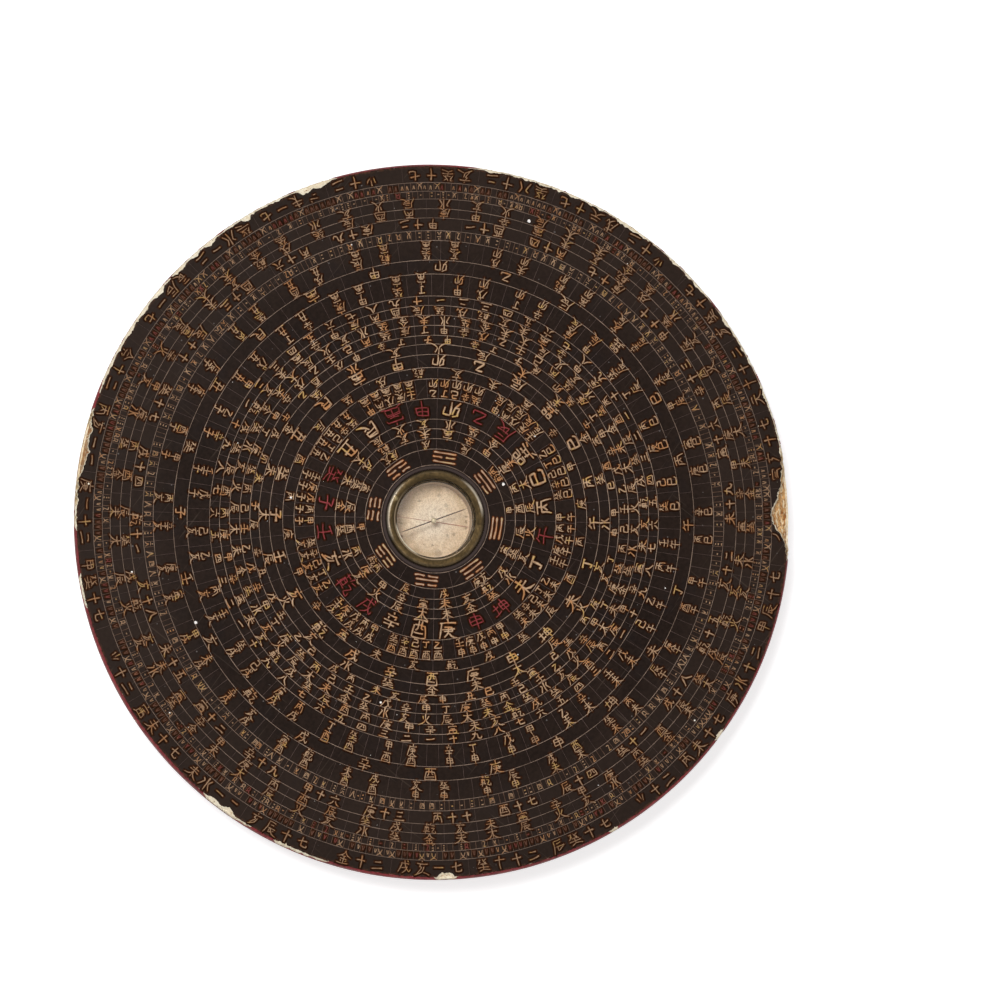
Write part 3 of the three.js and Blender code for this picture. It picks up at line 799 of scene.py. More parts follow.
# Rings of signs: radii and sizes in mm, bearings in degrees. Each column is written from the rim inwards.
def writeRings():
    rings = {name: [] for name in ringNames}

    def write(ring, signs, bearing, radii, width, height, nib):
        for sign, radius in zip(signs, radii):
            writeSign(rings[ring], sign, bearing, radius, width, height, nib)

    for k, direction in enumerate(directions):  # two or three bands of signs round the trigrams
        bearing = 90 + 15 * k + handRandom.uniform(-0.5, 0.5)
        signs = take(flared, 3 * k) + take(dense, 5 * k + 1)
        write("signs_inner", signs, bearing, (28.7, 25.7), 3.1, 2.8, "middle")
        if k % 2:
            for side in (-3.2, 3.2) if direction in cornerDirections else (0,):
                sign = take(dense, 7 * k + (side > 0))
                write("signs_inner", sign, bearing + side, (22.7,), 2.4, 2.6, "small")
    for k, sign in enumerate(directions):
        ring, nib = ("signs_main_red", "middle") if sign in redDirections else ("signs_main", "main")
        write(ring, sign, 90 + 15 * k, (33.3,), 5.3, 5.1, nib)
    for k in range(72):  # five columns to a branch, then an empty one
        if k % 6 != 4:
            branch = (k + 1) // 6 + 3
            signs = take(branches, branch) + take(stems, 2 * ((k + 1) % 6) + branch % 2)
            write("signs_sixty", signs, 85.7 + 5 * k, (40.9, 37.9), 2.75, 2.75, "small")
    for k, direction in enumerate(directions):
        write("signs_half", take(dense, 5 * k + 3), 90.3 + 15 * k, (44.2,), 2.9, 2.8, "small")
        write("signs_half", direction, 82.9 + 15 * k, (47.9,), 4.2, 3.7, "large")
        write("signs_half", take(flared, 5 * k + 2), 82.9 + 15 * k, (51.4,), 3.4, 2.9, "middle")
        for side in (-4.4, 4.4):
            sign = take(stems + branches, 3 * k + 7 * (side > 0))
            write("signs_half", sign, 90.1 + side + 15 * k, (54.3,), 2.7, 2.4, "small")
    for k in range(60):
        signs = take(flared, 3 * k) + take(stems, 7 * k)
        write("signs_columns_inner", signs, 84.5 + 6 * k, (60.2, 57.3), 3.1, 2.75, "small")
        signs = take(numerals, k) + take(dense, 5 * k)
        write("signs_columns_inner", signs, 83 + 6 * k, (66.2, 63.2), 3.2, 2.7, "small")
    for k, direction in enumerate(directions):
        write("signs_columns_outer", direction, 82.9 + 15 * k, (76.5,), 3.9, 3.5, "middle")
        for side in (-3, 3):
            signs = take(branches, k // 2 + 3) + take(stems, 3 * k + 4 * (side > 0))
            write("signs_columns_outer", signs, 90.4 + side + 15 * k, (72.8, 69.5), 2.9, 3.2, "small")
            signs = take(branches, (k + 1) // 2 + 2) + take(dense, 5 * k + 3 * (side > 0))
            write("signs_columns_outer", signs, 82.9 + side + 15 * k, (82.9, 80.0), 2.7, 2.9, "small")
    for k in range(28):  # groups of figures, as on a ring of degrees
        start = 88.5 + 360 / 28 * k
        for order, sign in enumerate(take(numerals, 3 * k) + "十" + take(dense, 7 * k + 2)):
            write("signs_degrees", sign, start + 2.85 * order, (89.5,), 3.3, 3.3, "middle")
        figures = take(numerals, 5 * k + 1) + "十" + take(flared, k) + take(dense, 5 * k)
        for order, sign in enumerate(figures if k % 4 != 2 else figures[:3]):
            write("signs_degrees", sign, start + 2.6 + 2.85 * order, (104.6,), 3.7, 3.9, "small")
    for k in range(60):
        bearing = 83.1 + 6 * k + handRandom.uniform(-0.4, 0.4)
        signs = take(flared, 5 * k) + take(dense, 7 * k + 4)
        write("signs_degrees", signs, bearing, (95.8, 92.8), 3.3, 2.9, "small")
    for k in range(360):  # three rings of marks; in two of them every other cell is all but empty
        place = 82 + k + handRandom.uniform(-0.12, 0.12)
        if handRandom.random() < (0.06 if k % 2 else 0.95):
            mark = "qpjxhwo四六八"[handRandom.integers(10)]
            write("marks_gold", mark, place + 0.4, (86,), 1.6, 2.5, "dot" if mark in "opq" else "tiny")
        if handRandom.random() < (0.95 if k % 2 else 0.3):
            ink = "marks_red" if handRandom.random() < 0.12 else "marks_gold"
            mark = "qpoxjwhqo"[handRandom.integers(9)]
            write(ink, mark, place + 0.2, (98.35,), 1.4, 2.0, "dot" if mark in "opq" else "tiny")
        if k % 7 == 0 or handRandom.random() < 0.06:
            write("marks_gold", "x", place, (100.85,), 2.3, 2.4, "tiny")
        elif handRandom.random() < 0.9:
            faded = "marks_brown" if k // 5 % 3 else "marks_red"  # every third group is still red
            ink = "marks_gold" if handRandom.random() < 0.3 else faded
            write(ink, "c", place, (100.85,), 1.5, 2.5, "comma")
    return rings


# Ruled lines: circles by radius, and cell lines by first bearing, count and the two radii they run between
ruled = {
    "circles": [16.3, 21.1, 24.2, 27.2, 30.1, 36.4, 42.4, 45.8, 49.75, 52.9, 55.6, 58.6,
                61.7, 64.65, 67.6, 74.3, 78.45, 84.45, 87.5, 91.35, 94.2, 97.2, 99.5, 102.2],
    "circleWidth": 0.16,
    "cellWidth": 0.1,
    "degreeWidth": 0.14,
    "relief": 0.16,
    "missing": 0.03,
    "cells": [
        (112.5, 8, 16.3, 21.1), (82.7, 24, 21.1, 36.4), (83.2, 72, 36.4, 42.4), (82.7, 24, 42.4, 49.75),
        (90.4, 24, 45.8, 55.6), (87.5, 60, 55.6, 61.7), (86, 60, 61.7, 67.6), (83.9, 120, 67.6, 74.3),
        (90.4, 24, 74.3, 78.45), (82.9, 120, 78.45, 84.45), (81.9, 360, 84.45, 87.5),
        (86.9, 28, 87.5, 91.35), (86.1, 60, 91.35, 97.2), (81.7, 360, 97.2, 99.5),
        (82.5, 360, 99.5, 102.2), (89.1, 28, 102.2, 107.2),
    ],
}


def makeRuledLines():
    bearings = np.arange(0, 360, 0.8)
    circles, cells, degrees = [], [], []
    for number, radius in enumerate(ruled["circles"]):
        wobble = radius + 0.05 * waver(50 + number, 40, bearings)
        width = ruled["circleWidth"] / 2 * (1 + 0.3 * waver(90 + number, 160, bearings))
        circles.append((heading(bearings) * wobble[:, None], width))
    lineRandom = np.random.default_rng(8)
    for first, count, inner, outer in ruled["cells"]:
        lines, lineWidth = (degrees, ruled["degreeWidth"]) if count == 360 else (cells, ruled["cellWidth"])
        for k in range(count):
            if lineRandom.random() < ruled["missing"]:
                continue
            bearing = first + 360 / count * k + lineRandom.uniform(-0.1, 0.1)
            ends = np.array([inner + lineRandom.uniform(0, 0.2), outer - lineRandom.uniform(0, 0.15)])
            ends = np.minimum(ends, skinEdge(np.array([bearing % 360])) - edgeMargin["lines"])
            width = lineWidth / 2 * lineRandom.uniform(0.6, 1.2, 3)
            lines.append((np.linspace(*ends, 3)[:, None] * heading(bearing), width))
    relief = ruled["relief"]
    return (curveMesh("ruled_circles", circles, faceLevel, relief, cyclic=True),
            curveMesh("ruled_cells", cells, faceLevel, relief),
            curveMesh("ruled_degrees", degrees, faceLevel, relief))


# Small flakes of ground that stick to the face: bearing, radius and width, with finer dust between them
flakes = [
    (99.2, 95.2, 1.0), (144.5, 23.1, 0.95), (359.8, 43.8, 0.75), (328.1, 78.2, 1.0), (278.3, 57.5, 0.7),
    (341.5, 92.1, 0.6), (315.4, 98.3, 0.5), (209.4, 98.8, 0.6), (118.6, 97.6, 0.4), (357.2, 104.1, 0.6),
    (12.5, 63.4, 0.4), (64.8, 86.6, 0.45), (188.2, 72.5, 0.4), (230.4, 47.7, 0.4), (131.9, 39.3, 0.45),
]
dust = {"count": 46, "seed": 77, "smallest": 0.12, "largest": 0.3, "inner": 18, "outer": 105}


def makeWhiteSpecks():
    lumps = []
    shares = np.random.default_rng(dust["seed"]).uniform(0, 1, (dust["count"], 3))
    radii = np.sqrt(dust["inner"] ** 2 + (dust["outer"] ** 2 - dust["inner"] ** 2) * shares[:, 1])
    widths = dust["smallest"] + (dust["largest"] - dust["smallest"]) * shares[:, 2] ** 2
    for order, (bearing, radius, width) in enumerate(flakes + list(zip(360 * shares[:, 0], radii, widths))):
        deselectAll()
        bpy.ops.mesh.primitive_ico_sphere_add(subdivisions=2 if width > 0.35 else 1, radius=width / 2 * mm)
        lump = bpy.context.object
        uneven = np.random.default_rng(order).uniform(0.75, 1.15, len(lump.data.vertices))
        for vertex, stretch in zip(lump.data.vertices, uneven):
            vertex.co = (vertex.co.x * stretch, vertex.co.y * stretch, vertex.co.z * 0.3)
        lump.data.transform(Matrix.Translation((*(radius * mm * heading(bearing)), faceLevel * mm)))
        lumps.append(lump)
    pick(lumps[0])
    for lump in lumps:
        lump.select_set(True)
    bpy.ops.object.join()
    lumps[0].name = "ground_flakes"
    return lumps[0]


# Trigrams: three bars each, the innermost first; 1 is a whole bar and 0 a broken one
trigrams = {
    "bars": {180: "111", 135: "011", 90: "101", 45: "001", 0: "000", 315: "100", 270: "010", 225: "110"},
    "radii": (17.35, 18.7, 20.1),
    "lengths": (6.7, 6.6, 6.5),
    "halfWidth": 0.25,
    "gap": 0.17,  # share of a bar's length
    "bow": 0.22,
    "underlay": 0.3,
    "places": np.array([0, 0.02, 0.07, 0.3, 0.6, 0.93, 0.98, 1]),  # along a bar
    "widths": np.array([0.6, 1.05, 1.25, 0.8, 0.9, 1.2, 1.1, 0.6]),
}


def makeBarStrokes():
    bars = []
    along, gap = trigrams["places"], trigrams["gap"] / 2
    for bearing, lines in trigrams["bars"].items():
        for radius, line, length in zip(trigrams["radii"], lines, trigrams["lengths"]):
            out = heading(bearing + handRandom.uniform(-0.8, 0.8))
            side = np.array([out[1], -out[0]])
            half = 0.5 + handRandom.uniform(-0.03, 0.03)
            for start, end in [(-half, half)] if line == "1" else [(-half, -gap), (gap, half)]:
                places = (start + (end - start) * along)[:, None] * length * side
                uneven = handRandom.uniform(-0.05, 0.05, (len(along), 1)) + handRandom.uniform(-0.08, 0.08)
                bow = trigrams["bow"] * handRandom.uniform(-1, 1)
                uneven += bow * (along[:, None] - 0.5) ** 2 * 4 - 0.05
                width = 1 + handRandom.uniform(-0.08, 0.08, len(along))
                width = trigrams["halfWidth"] * trigrams["widths"] * width
                bars.append((places + (radius + uneven) * out, width))
    return bars


# Node helpers


def tone(*color):  # red, green and blue as read from a screen, made linear
    return tuple(c / 3294.6 if c <= 10 else ((c / 255 + 0.055) / 1.055) ** 2.4 for c in color) + (1,)


def addNode(tree, kind, inputs, **settings):
    node = tree.nodes.new(kind)
    for key, value in settings.items():
        setattr(node, key, value)
    for key, value in inputs.items():
        if isinstance(value, bpy.types.NodeSocket):
            tree.links.new(value, node.inputs[key])
        else:
            node.inputs[key].default_value = value
    return node.outputs


def mixTones(tree, factor, first, second):
    return addNode(tree, "ShaderNodeMix", {0: factor, 6: first, 7: second}, data_type="RGBA")[2]


def calculate(tree, operation, *values):
    return addNode(tree, "ShaderNodeMath", dict(enumerate(values)), operation=operation)[0]


def vectorMath(tree, operation, *values):  # a length or a distance is a number, anything else a place
    outputs = addNode(tree, "ShaderNodeVectorMath", dict(enumerate(values)), operation=operation)
    return outputs["Value" if operation in ("LENGTH", "DISTANCE") else "Vector"]


def turnedPlace(tree, place, angle):
    inputs = {"Vector": place, "Angle": angle}
    return addNode(tree, "ShaderNodeVectorRotate", inputs, rotation_type="Z_AXIS")[0]


def remap(tree, value, low, high, newLow=0.0, newHigh=1.0):
    inputs = {0: value, 1: low, 2: high, 3: newLow, 4: newHigh}
    return addNode(tree, "ShaderNodeMapRange", inputs, interpolation_type="SMOOTHSTEP")[0]


def noiseOf(tree, place, scale, detail=3.0, roughness=0.5, output=0):
    scale = scale if isinstance(scale, bpy.types.NodeSocket) else scale * perMm
    inputs = {"Vector": place, "Scale": scale, "Detail": detail, "Roughness": roughness}
    return addNode(tree, "ShaderNodeTexNoise", inputs)[output]


# Shared effects: patchy colour, small specks, fine scuffs, and a band along a circle, used for wear and for
# painted light and shade


def newGroup(name, numbers, outputs, **colors):  # its inputs are a place, some numbers and some colours
    group = bpy.data.node_groups.new(name, "ShaderNodeTree")
    group.interface.new_socket("Vector", in_out="INPUT", socket_type="NodeSocketVector")
    for kind, values in (("Float", numbers), ("Color", colors)):
        for label, value in values.items():
            socket = group.interface.new_socket(label, in_out="INPUT", socket_type="NodeSocket" + kind)
            socket.default_value = value
    for label in outputs:
        kind = "Color" if label == "Color" else "Float"
        group.interface.new_socket(label, in_out="OUTPUT", socket_type="NodeSocket" + kind)
    return group, group.nodes.new("NodeGroupInput").outputs, group.nodes.new("NodeGroupOutput").inputs


def makeMottle():
    numbers, light, dark = {"Scale": 1.0, "Low": 0.35, "High": 0.65}, tone(200, 200, 200), tone(60, 60, 60)
    group, given, result = newGroup("mottle", numbers, ["Color", "Mask"], Light=light, Dark=dark)
    noise = noiseOf(group, given["Vector"], given["Scale"], 5, 0.6)
    mask = remap(group, noise, given["Low"], given["High"])
    group.links.new(mask, result["Mask"])
    group.links.new(mixTones(group, mask, given["Dark"], given["Light"]), result["Color"])
    return group


def makeSpecks():
    group, given, result = newGroup("specks", {"Scale": 1.0, "Size": 0.15, "Share": 0.3}, ["Mask"])
    spread = noiseOf(group, given["Vector"], given["Scale"], 2, output="Color")
    bent = vectorMath(group, "MULTIPLY", spread, (0.12 * mm,) * 3)
    moved = vectorMath(group, "ADD", given["Vector"], bent)
    cells = addNode(group, "ShaderNodeTexVoronoi", {"Vector": moved, "Scale": given["Scale"]})
    picked = addNode(group, "ShaderNodeSeparateColor", {0: cells["Color"]})
    chosen = calculate(group, "LESS_THAN", picked[0], given["Share"])
    size = calculate(group, "MULTIPLY", given["Size"], picked[1])
    dot = remap(group, calculate(group, "SUBTRACT", cells["Distance"], size), 0.0, 0.04, 1.0, 0.0)
    group.links.new(calculate(group, "MULTIPLY", dot, chosen), result["Mask"])
    return group


def makeScuffs():
    group, given, result = newGroup("scuffs", {"Turn": 0.0, "Scale": 1.0, "Share": 0.62}, ["Mask"])
    along = turnedPlace(group, given["Vector"], given["Turn"])
    noise = noiseOf(group, vectorMath(group, "MULTIPLY", along, (0.05, 1.6, 1)), given["Scale"], 2)
    line = remap(group, noise, given["Share"], calculate(group, "ADD", given["Share"], 0.05))
    group.links.new(line, result["Mask"])
    return group


def makeRingBand():
    numbers = {"Radius": 0.1, "Width": 0.001, "Scale": 500.0}
    group, given, result = newGroup("rubbed", numbers, ["Mask", "Band"])
    radius = vectorMath(group, "LENGTH", vectorMath(group, "MULTIPLY", given["Vector"], (1, 1, 0)))
    away = calculate(group, "ABSOLUTE", calculate(group, "SUBTRACT", radius, given["Radius"]))
    ring = remap(group, calculate(group, "DIVIDE", away, given["Width"]), 0.2, 1.0, 1.0, 0.0)
    broken = remap(group, noiseOf(group, given["Vector"], given["Scale"], 4, 0.65), 0.42, 0.62)
    group.links.new(calculate(group, "MULTIPLY", ring, broken), result["Mask"])
    group.links.new(ring, result["Band"])
    return group


effects = {"mottle": makeMottle(), "specks": makeSpecks(), "scuffs": makeScuffs(), "rubbed": makeRingBand()}


# A material whose colour is built up in layers. Scales are in features a millimetre, other sizes in mm.
class Finish:
    def __init__(self, name, **sockets):
        self.material = bpy.data.materials.new(name)
        self.material.use_nodes = True
        self.tree = self.material.node_tree
        self.shader = self.tree.nodes["Principled BSDF"]
        self.place = self.tree.nodes.new("ShaderNodeTexCoord").outputs["Object"]
        self.color = None
        for label, value in sockets.items():
            self.shader.inputs[label.replace("_", " ")].default_value = value

    def link(self, output, label):
        self.tree.links.new(output, self.shader.inputs[label])

    def add(self, first, second):
        return calculate(self.tree, "ADD", first, second)

    def multiply(self, first, second):
        return calculate(self.tree, "MULTIPLY", first, second)

    def highest(self, first, second):
        return calculate(self.tree, "MAXIMUM", first, second)

    def effect(self, name, **inputs):
        inputs = {"Vector": self.place, **inputs}
        return addNode(self.tree, "ShaderNodeGroup", inputs, node_tree=effects[name])

    def mottle(self, scale, light, dark, low=0.35, high=0.65, place=None):
        inputs = {"Vector": place or self.place, "Scale": scale * perMm, "Low": low, "High": high}
        return self.effect("mottle", Light=tone(*light), Dark=tone(*dark), **inputs)

    def cloud(self, scale, low, high):
        return self.effect("mottle", Scale=scale * perMm, Low=low, High=high)["Mask"]

    def specks(self, scale, size, share):
        return self.effect("specks", Scale=scale * perMm, Size=size, Share=share)["Mask"]

    def scuffs(self, turn, scale, share):
        return self.effect("scuffs", Turn=turn, Scale=scale * perMm, Share=share)["Mask"]

    # a band along a circle, for wear and for painted light and shade
    def rubbed(self, radius, width, scale=0.5):
        return self.effect("rubbed", Radius=radius * mm, Width=width * mm, Scale=scale * perMm)

    def noise(self, scale, detail=3.0, place=None):
        return noiseOf(self.tree, place or self.place, scale, detail)

    def patch(self, scale, detail, low, high, place=None):  # where a noise is high
        return remap(self.tree, self.noise(scale, detail, place), low, high)

    def outwards(self, inner, outer, atInner, atOuter, place=None):  # changes from one radius to another
        reach = vectorMath(self.tree, "LENGTH", place or self.place)
        return remap(self.tree, reach, inner * mm, outer * mm, atInner, atOuter)

    def near(self, bearing, radius, level, inner, outer, strength, place=None):  # fades outwards
        spot = (*(radius * mm * heading(bearing)), level * mm)
        away = vectorMath(self.tree, "DISTANCE", place or self.place, spot)
        return remap(self.tree, away, inner * mm, outer * mm, strength, 0.0)

    def layer(self, mask, paint, share=1):
        mask = mask if share == 1 else self.multiply(mask, share)
        self.color = mixTones(self.tree, mask, self.color, tone(*paint))

    def base(self, share, broad, fine):  # two sizes of mottle
        self.color = mixTones(self.tree, share, broad["Color"], fine["Color"])

    def rough(self, scale, smoothest, roughest):
        self.link(remap(self.tree, self.noise(scale), 0.3, 0.7, smoothest, roughest), "Roughness")

    def done(self, height, strength, depth):  # colour and bump go in
        inputs = {"Height": height, "Strength": strength, "Distance": depth * mm}
        self.link(addNode(self.tree, "ShaderNodeBump", inputs)[0], "Normal")
        if self.color:
            self.link(self.color, "Base Color")
        return self.material


def makeBlackLacquer():
    finish = Finish("blackLacquer", Specular_IOR_Level=0.012)
    broad = finish.mottle(0.03, (43, 33, 28), (33, 25, 21))
    finish.base(0.4, broad, finish.mottle(0.9, (47, 36, 31), (28, 21, 18)))
    finish.layer(finish.patch(0.14, 4, 0.52, 0.7), (36, 31, 31), 0.3)  # a bluish bloom between the signs
    finish.layer(finish.outwards(78, 92, 0.0, 0.35), (56, 45, 39))  # dustier
    finish.layer(finish.specks(0.6, 0.13, 0.16), (132, 126, 124), 0.5)
    lines = finish.highest(finish.scuffs(0.5, 1.1, 0.68), finish.scuffs(2.1, 0.8, 0.69))
    finish.layer(lines, (98, 84, 74), 0.22)
    finish.layer(finish.rubbed(faceRadius - 0.1, 0.9, 1.3)["Mask"], (96, 62, 44), 0.55)
    finish.layer(finish.rubbed(15.5, 0.8, 0.8)["Band"], (76, 65, 62), 0.7)  # the bead
    finish.rough(0.12, 0.36, 0.5)
    return finish.done(finish.add(finish.noise(0.35), finish.multiply(lines, -0.3)), 0.35, 0.06)


def makeRedLacquer():
    finish = Finish("redLacquer", Specular_IOR_Level=0.15)
    broad = finish.mottle(0.05, (132, 44, 50), (94, 32, 36))
    finish.base(0.45, broad, finish.mottle(0.7, (146, 54, 60), (76, 27, 29)))
    finish.layer(finish.rubbed(discSize["footRadius"] - 2, 4, 0.3)["Mask"], (66, 40, 34), 0.8)
    finish.layer(finish.rubbed(discSize["radius"], 0.9, 0.9)["Mask"], (170, 120, 100), 0.3)
    finish.layer(finish.specks(0.3, 0.16, 0.25), (196, 170, 136), 0.7)
    finish.rough(0.2, 0.38, 0.6)
    return finish.done(finish.noise(0.4), 0.4, 0.1)


def makeCreamGround():
    finish = Finish("creamGround", Specular_IOR_Level=0.15, Roughness=0.9)
    broad = finish.mottle(0.25, (246, 235, 210), (226, 206, 172))
    finish.base(0.45, broad, finish.mottle(1.4, (250, 241, 220), (192, 166, 128), 0.3, 0.55))
    finish.layer(finish.specks(0.9, 0.22, 0.22), (112, 84, 56), 0.7)
    finish.layer(finish.outwards(99, 102, 0.85, 0.0), (255, 250, 248))  # the flakes on the face are cleaner
    return finish.done(finish.add(finish.noise(1.2, 5), finish.noise(4)), 0.7, 0.18)


def makeBrokenWood():
    finish = Finish("brokenWood", Specular_IOR_Level=0.2, Roughness=0.8)
    tree = finish.tree
    along = turnedPlace(tree, finish.place, math.radians(rimWear["grainBearing"] - 90))
    along = vectorMath(tree, "MULTIPLY", along, (0.3, 1, 1))
    broad = finish.mottle(0.55, (226, 176, 116), (166, 108, 56), 0.4, 0.6)
    finish.base(0.5, broad, finish.mottle(1.1, (240, 196, 136), (140, 86, 42), 0.4, 0.58, along))
    finish.layer(finish.patch(1.7, 4, 0.56, 0.64), (96, 60, 34), 0.65)  # cracks
    # Pale streaks along the grain: torn fibres, with a painted highlight on them
    finish.layer(finish.patch(1.3, 3, 0.53, 0.62, along), (252, 236, 200), 0.75)
    flat = vectorMath(tree, "MULTIPLY", finish.place, (1, 1, 0))
    finish.layer(finish.outwards(16, 17, 0.9, 0.0, flat), (44, 32, 24))  # the seat under the glass and bezel darkened: painted shade
    wall = finish.outwards(poolRadius + 0.05, poolRadius + 0.15, 0.85, 0.0, flat)
    finish.layer(wall, (204, 176, 142))  # the pool's wall is papered
    north = addNode(tree, "ShaderNodeSeparateXYZ", {0: finish.place})[1]
    finish.layer(remap(tree, north, 20 * mm, 90 * mm, 0.0, 0.65), (150, 110, 76))  # the upper chip is older
    height = finish.add(finish.noise(1.5, 4, along), finish.noise(4, 2, along))
    return finish.done(height, 0.9, 0.25)


def makePaint(name, light, middle, dark, accents=(), gloss=0.06):
    finish = Finish(name, Specular_IOR_Level=gloss, Roughness=0.5)
    broad = finish.mottle(0.09, light, middle, 0.4, 0.6)
    finish.base(0.45, broad, finish.mottle(0.5, light, dark, 0.36, 0.56))
    for accent, scale, low in accents:  # patches of another batch of paint
        finish.layer(finish.patch(scale, 2, low, low + 0.05), accent, 0.7)
    finish.layer(finish.cloud(1.8, 0.6, 0.7), dark, 0.65)
    finish.layer(finish.outwards(62, 104, 0.0, 0.55), dark)  # duller towards the rim
    return finish.done(finish.noise(2.2), 0.3, 0.05)


def makeOldBrass():
    finish = Finish("oldBrass", Metallic=0.9, Specular_IOR_Level=0.2)
    inner, outer, top = bezelShape["inner"], bezelHigh.x, bezelHigh.z
    fine = finish.mottle(1.6, (82, 66, 41), (35, 28, 15))
    finish.base(0.4, finish.mottle(0.22, (71, 57, 35), (46, 36, 21)), fine)
    # Bright band on the outer rounding: rubbed brass, and a painted highlight at the listed bearings
    side = 0.03
    for bearing, strength in bezelShape["rubbedAndHighlightSpots"]:
        side = finish.highest(side, finish.near(bearing, outer, top, 2, 8, strength))
    edge = finish.rubbed(outer - 0.4, 0.8, 0.2)
    finish.layer(finish.highest(edge["Mask"], finish.multiply(edge["Band"], 0.6)), (206, 194, 176), side)
    # Darker band on the inner slope: painted shade
    finish.layer(finish.rubbed(inner + 0.4, 1.3)["Band"], (38, 30, 17), 0.6)
    # Painted highlight along the inner lip, strongest towards one bearing
    lipHighlightSide = finish.near(bezelShape["lipHighlightBearing"], inner, top, 12, 20, 0.7)
    finish.layer(finish.rubbed(inner + 0.2, 0.35, 0.3)["Band"], (142, 124, 102), lipHighlightSide)
    solder = finish.near(bezelShape["seamBearing"] - 4, 13.4, top, 0.1, 1.1, 0.75)
    finish.layer(solder, (106, 94, 68))
    finish.rough(0.6, 0.34, 0.55)
    return finish.done(finish.add(finish.noise(1.2, 4), fine["Mask"]), 0.35, 0.06)


def makeBrass(name, light, dark, metallic, smoothest, roughest):
    finish = Finish(name, Metallic=metallic, Specular_IOR_Level=0.3)
    finish.color = finish.mottle(0.5, light, dark)["Color"]
    finish.layer(finish.specks(2, 0.2, 0.2), (98, 80, 54), 0.5)
    finish.rough(0.9, smoothest, roughest)
    return finish.done(finish.noise(3), 0.2, 0.03)


def makeWireBrass():
    finish = Finish("wireBrass", Metallic=0.8, Roughness=0.35)
    finish.color = finish.mottle(0.5, (78, 64, 44), (46, 36, 25))["Color"]
    # Painted highlight on one side of the wire
    wireHighlight = finish.near(wireShape["wireHighlightBearing"], wireHigh.x, wireHigh.z, 3.5, 7, 0.95)
    finish.layer(wireHighlight, (236, 226, 200))
    return finish.done(finish.noise(2), 0.3, 0.04)


def makeBrownSteel():
    finish = Finish("brownSteel", Metallic=0.05, Specular_IOR_Level=0.02)
    finish.color = finish.mottle(0.6, (86, 52, 24), (52, 30, 14))["Color"]
    finish.layer(finish.specks(1.5, 0.3, 0.3), (76, 44, 22), 0.6)  # rust
    finish.rough(1.2, 0.4, 0.65)
    return finish.done(finish.noise(4, 4), 0.4, 0.03)


def makeClearGlass():
    tint = (0.97, 0.975, 0.96, 1)
    finish = Finish("clearGlass", Transmission_Weight=1.0, IOR=1.46, Metallic=0.0, Base_Color=tint)
    tree = finish.tree
    finish.link(remap(tree, finish.cloud(0.3, 0.5, 0.8), 0, 1, 0.0, 0.05), "Roughness")
    rays = addNode(tree, "ShaderNodeLightPath", {})
    unseen = finish.highest(rays["Is Shadow Ray"], rays["Is Diffuse Ray"])
    clear = addNode(tree, "ShaderNodeBsdfTransparent", {})[0]
    mix = addNode(tree, "ShaderNodeMixShader", {0: unseen, 1: finish.shader.outputs[0], 2: clear})[0]
    tree.links.new(mix, tree.nodes["Material Output"].inputs[0])
    return finish.done(finish.noise(0.12, 1), 0.12, 0.05)


# Stains on the card, and one patch of painted shadow: bearing, distance from the middle and size in mm, and
# how dark they are
cardStainsAndShade = [
    (348.6, 9.5, 0.4, 0.6), (326.6, 10.6, 0.6, 0.9), (315.6, 8.1, 1.7, 0.3), (289.6, 10, 1.4, 0.3),
    (252.6, 9.8, 1.5, 0.45), (263.6, 7.1, 0.35, 0.6), (47.6, 7.6, 0.4, 0.6), (94.6, 8.2, 0.7, 0.45),
    (81.6, 1.3, 0.45, 0.45), (121.6, 6.5, 0.8, 0.35), (202.6, 7.4, 0.55, 0.5), (214.6, 6.2, 0.5, 0.5),
    # the last and largest entry is painted shadow of the bezel near the card's edge
    (171.6, 10, 0.5, 0.8), (164.6, 10.2, 0.45, 0.7), (181.6, 10.3, 0.45, 0.7), (23.6, 9.9, 3.6, 0.3),
]


def makeAgedCard():
    finish = Finish("agedCard", Specular_IOR_Level=0.2, Roughness=0.85)
    broad = finish.mottle(0.1, (246, 224, 194), (228, 200, 166))
    finish.base(0.35, broad, finish.mottle(0.7, (248, 230, 202), (214, 184, 148)))
    foxing = finish.multiply(finish.specks(0.55, 0.34, 0.2), finish.patch(0.12, 2, 0.45, 0.6))
    finish.layer(foxing, (176, 140, 104), 0.7)
    finish.layer(finish.patch(0.2, 4, 0.54, 0.68), (206, 172, 134), 0.4)
    finish.layer(finish.specks(1.1, 0.22, 0.1), (122, 94, 66), 0.5)
    # Lighter in the middle: painted light, which leaves the card's edge in painted shade
    finish.layer(finish.near(0, 0, floorHigh.z, 2, 9, 0.4), (255, 244, 228))
    spread = noiseOf(finish.tree, finish.place, 1.4, 4, output="Color")
    bent = vectorMath(finish.tree, "MULTIPLY_ADD", spread, (1.6 * mm,) * 3, (-0.8 * mm,) * 3)
    ragged = vectorMath(finish.tree, "ADD", finish.place, bent)
    for bearing, radius, size, darkness in cardStainsAndShade:
        soakAndShade = finish.near(bearing, radius, floorHigh.z, 0.4 * size, size + 0.2, darkness, ragged)
        finish.layer(soakAndShade, (98, 68, 44))
    finish.layer(finish.patch(2.6, 3, 0.42, 0.64), (178, 146, 106), 0.45)
    # Brownish band round the edge: a stain, and painted shade under the bezel
    finish.layer(finish.rubbed(poolRadius, 4, 0.35)["Mask"], (176, 146, 98), 0.55)
    return finish.done(finish.noise(1.5, 5), 0.3, 0.06)


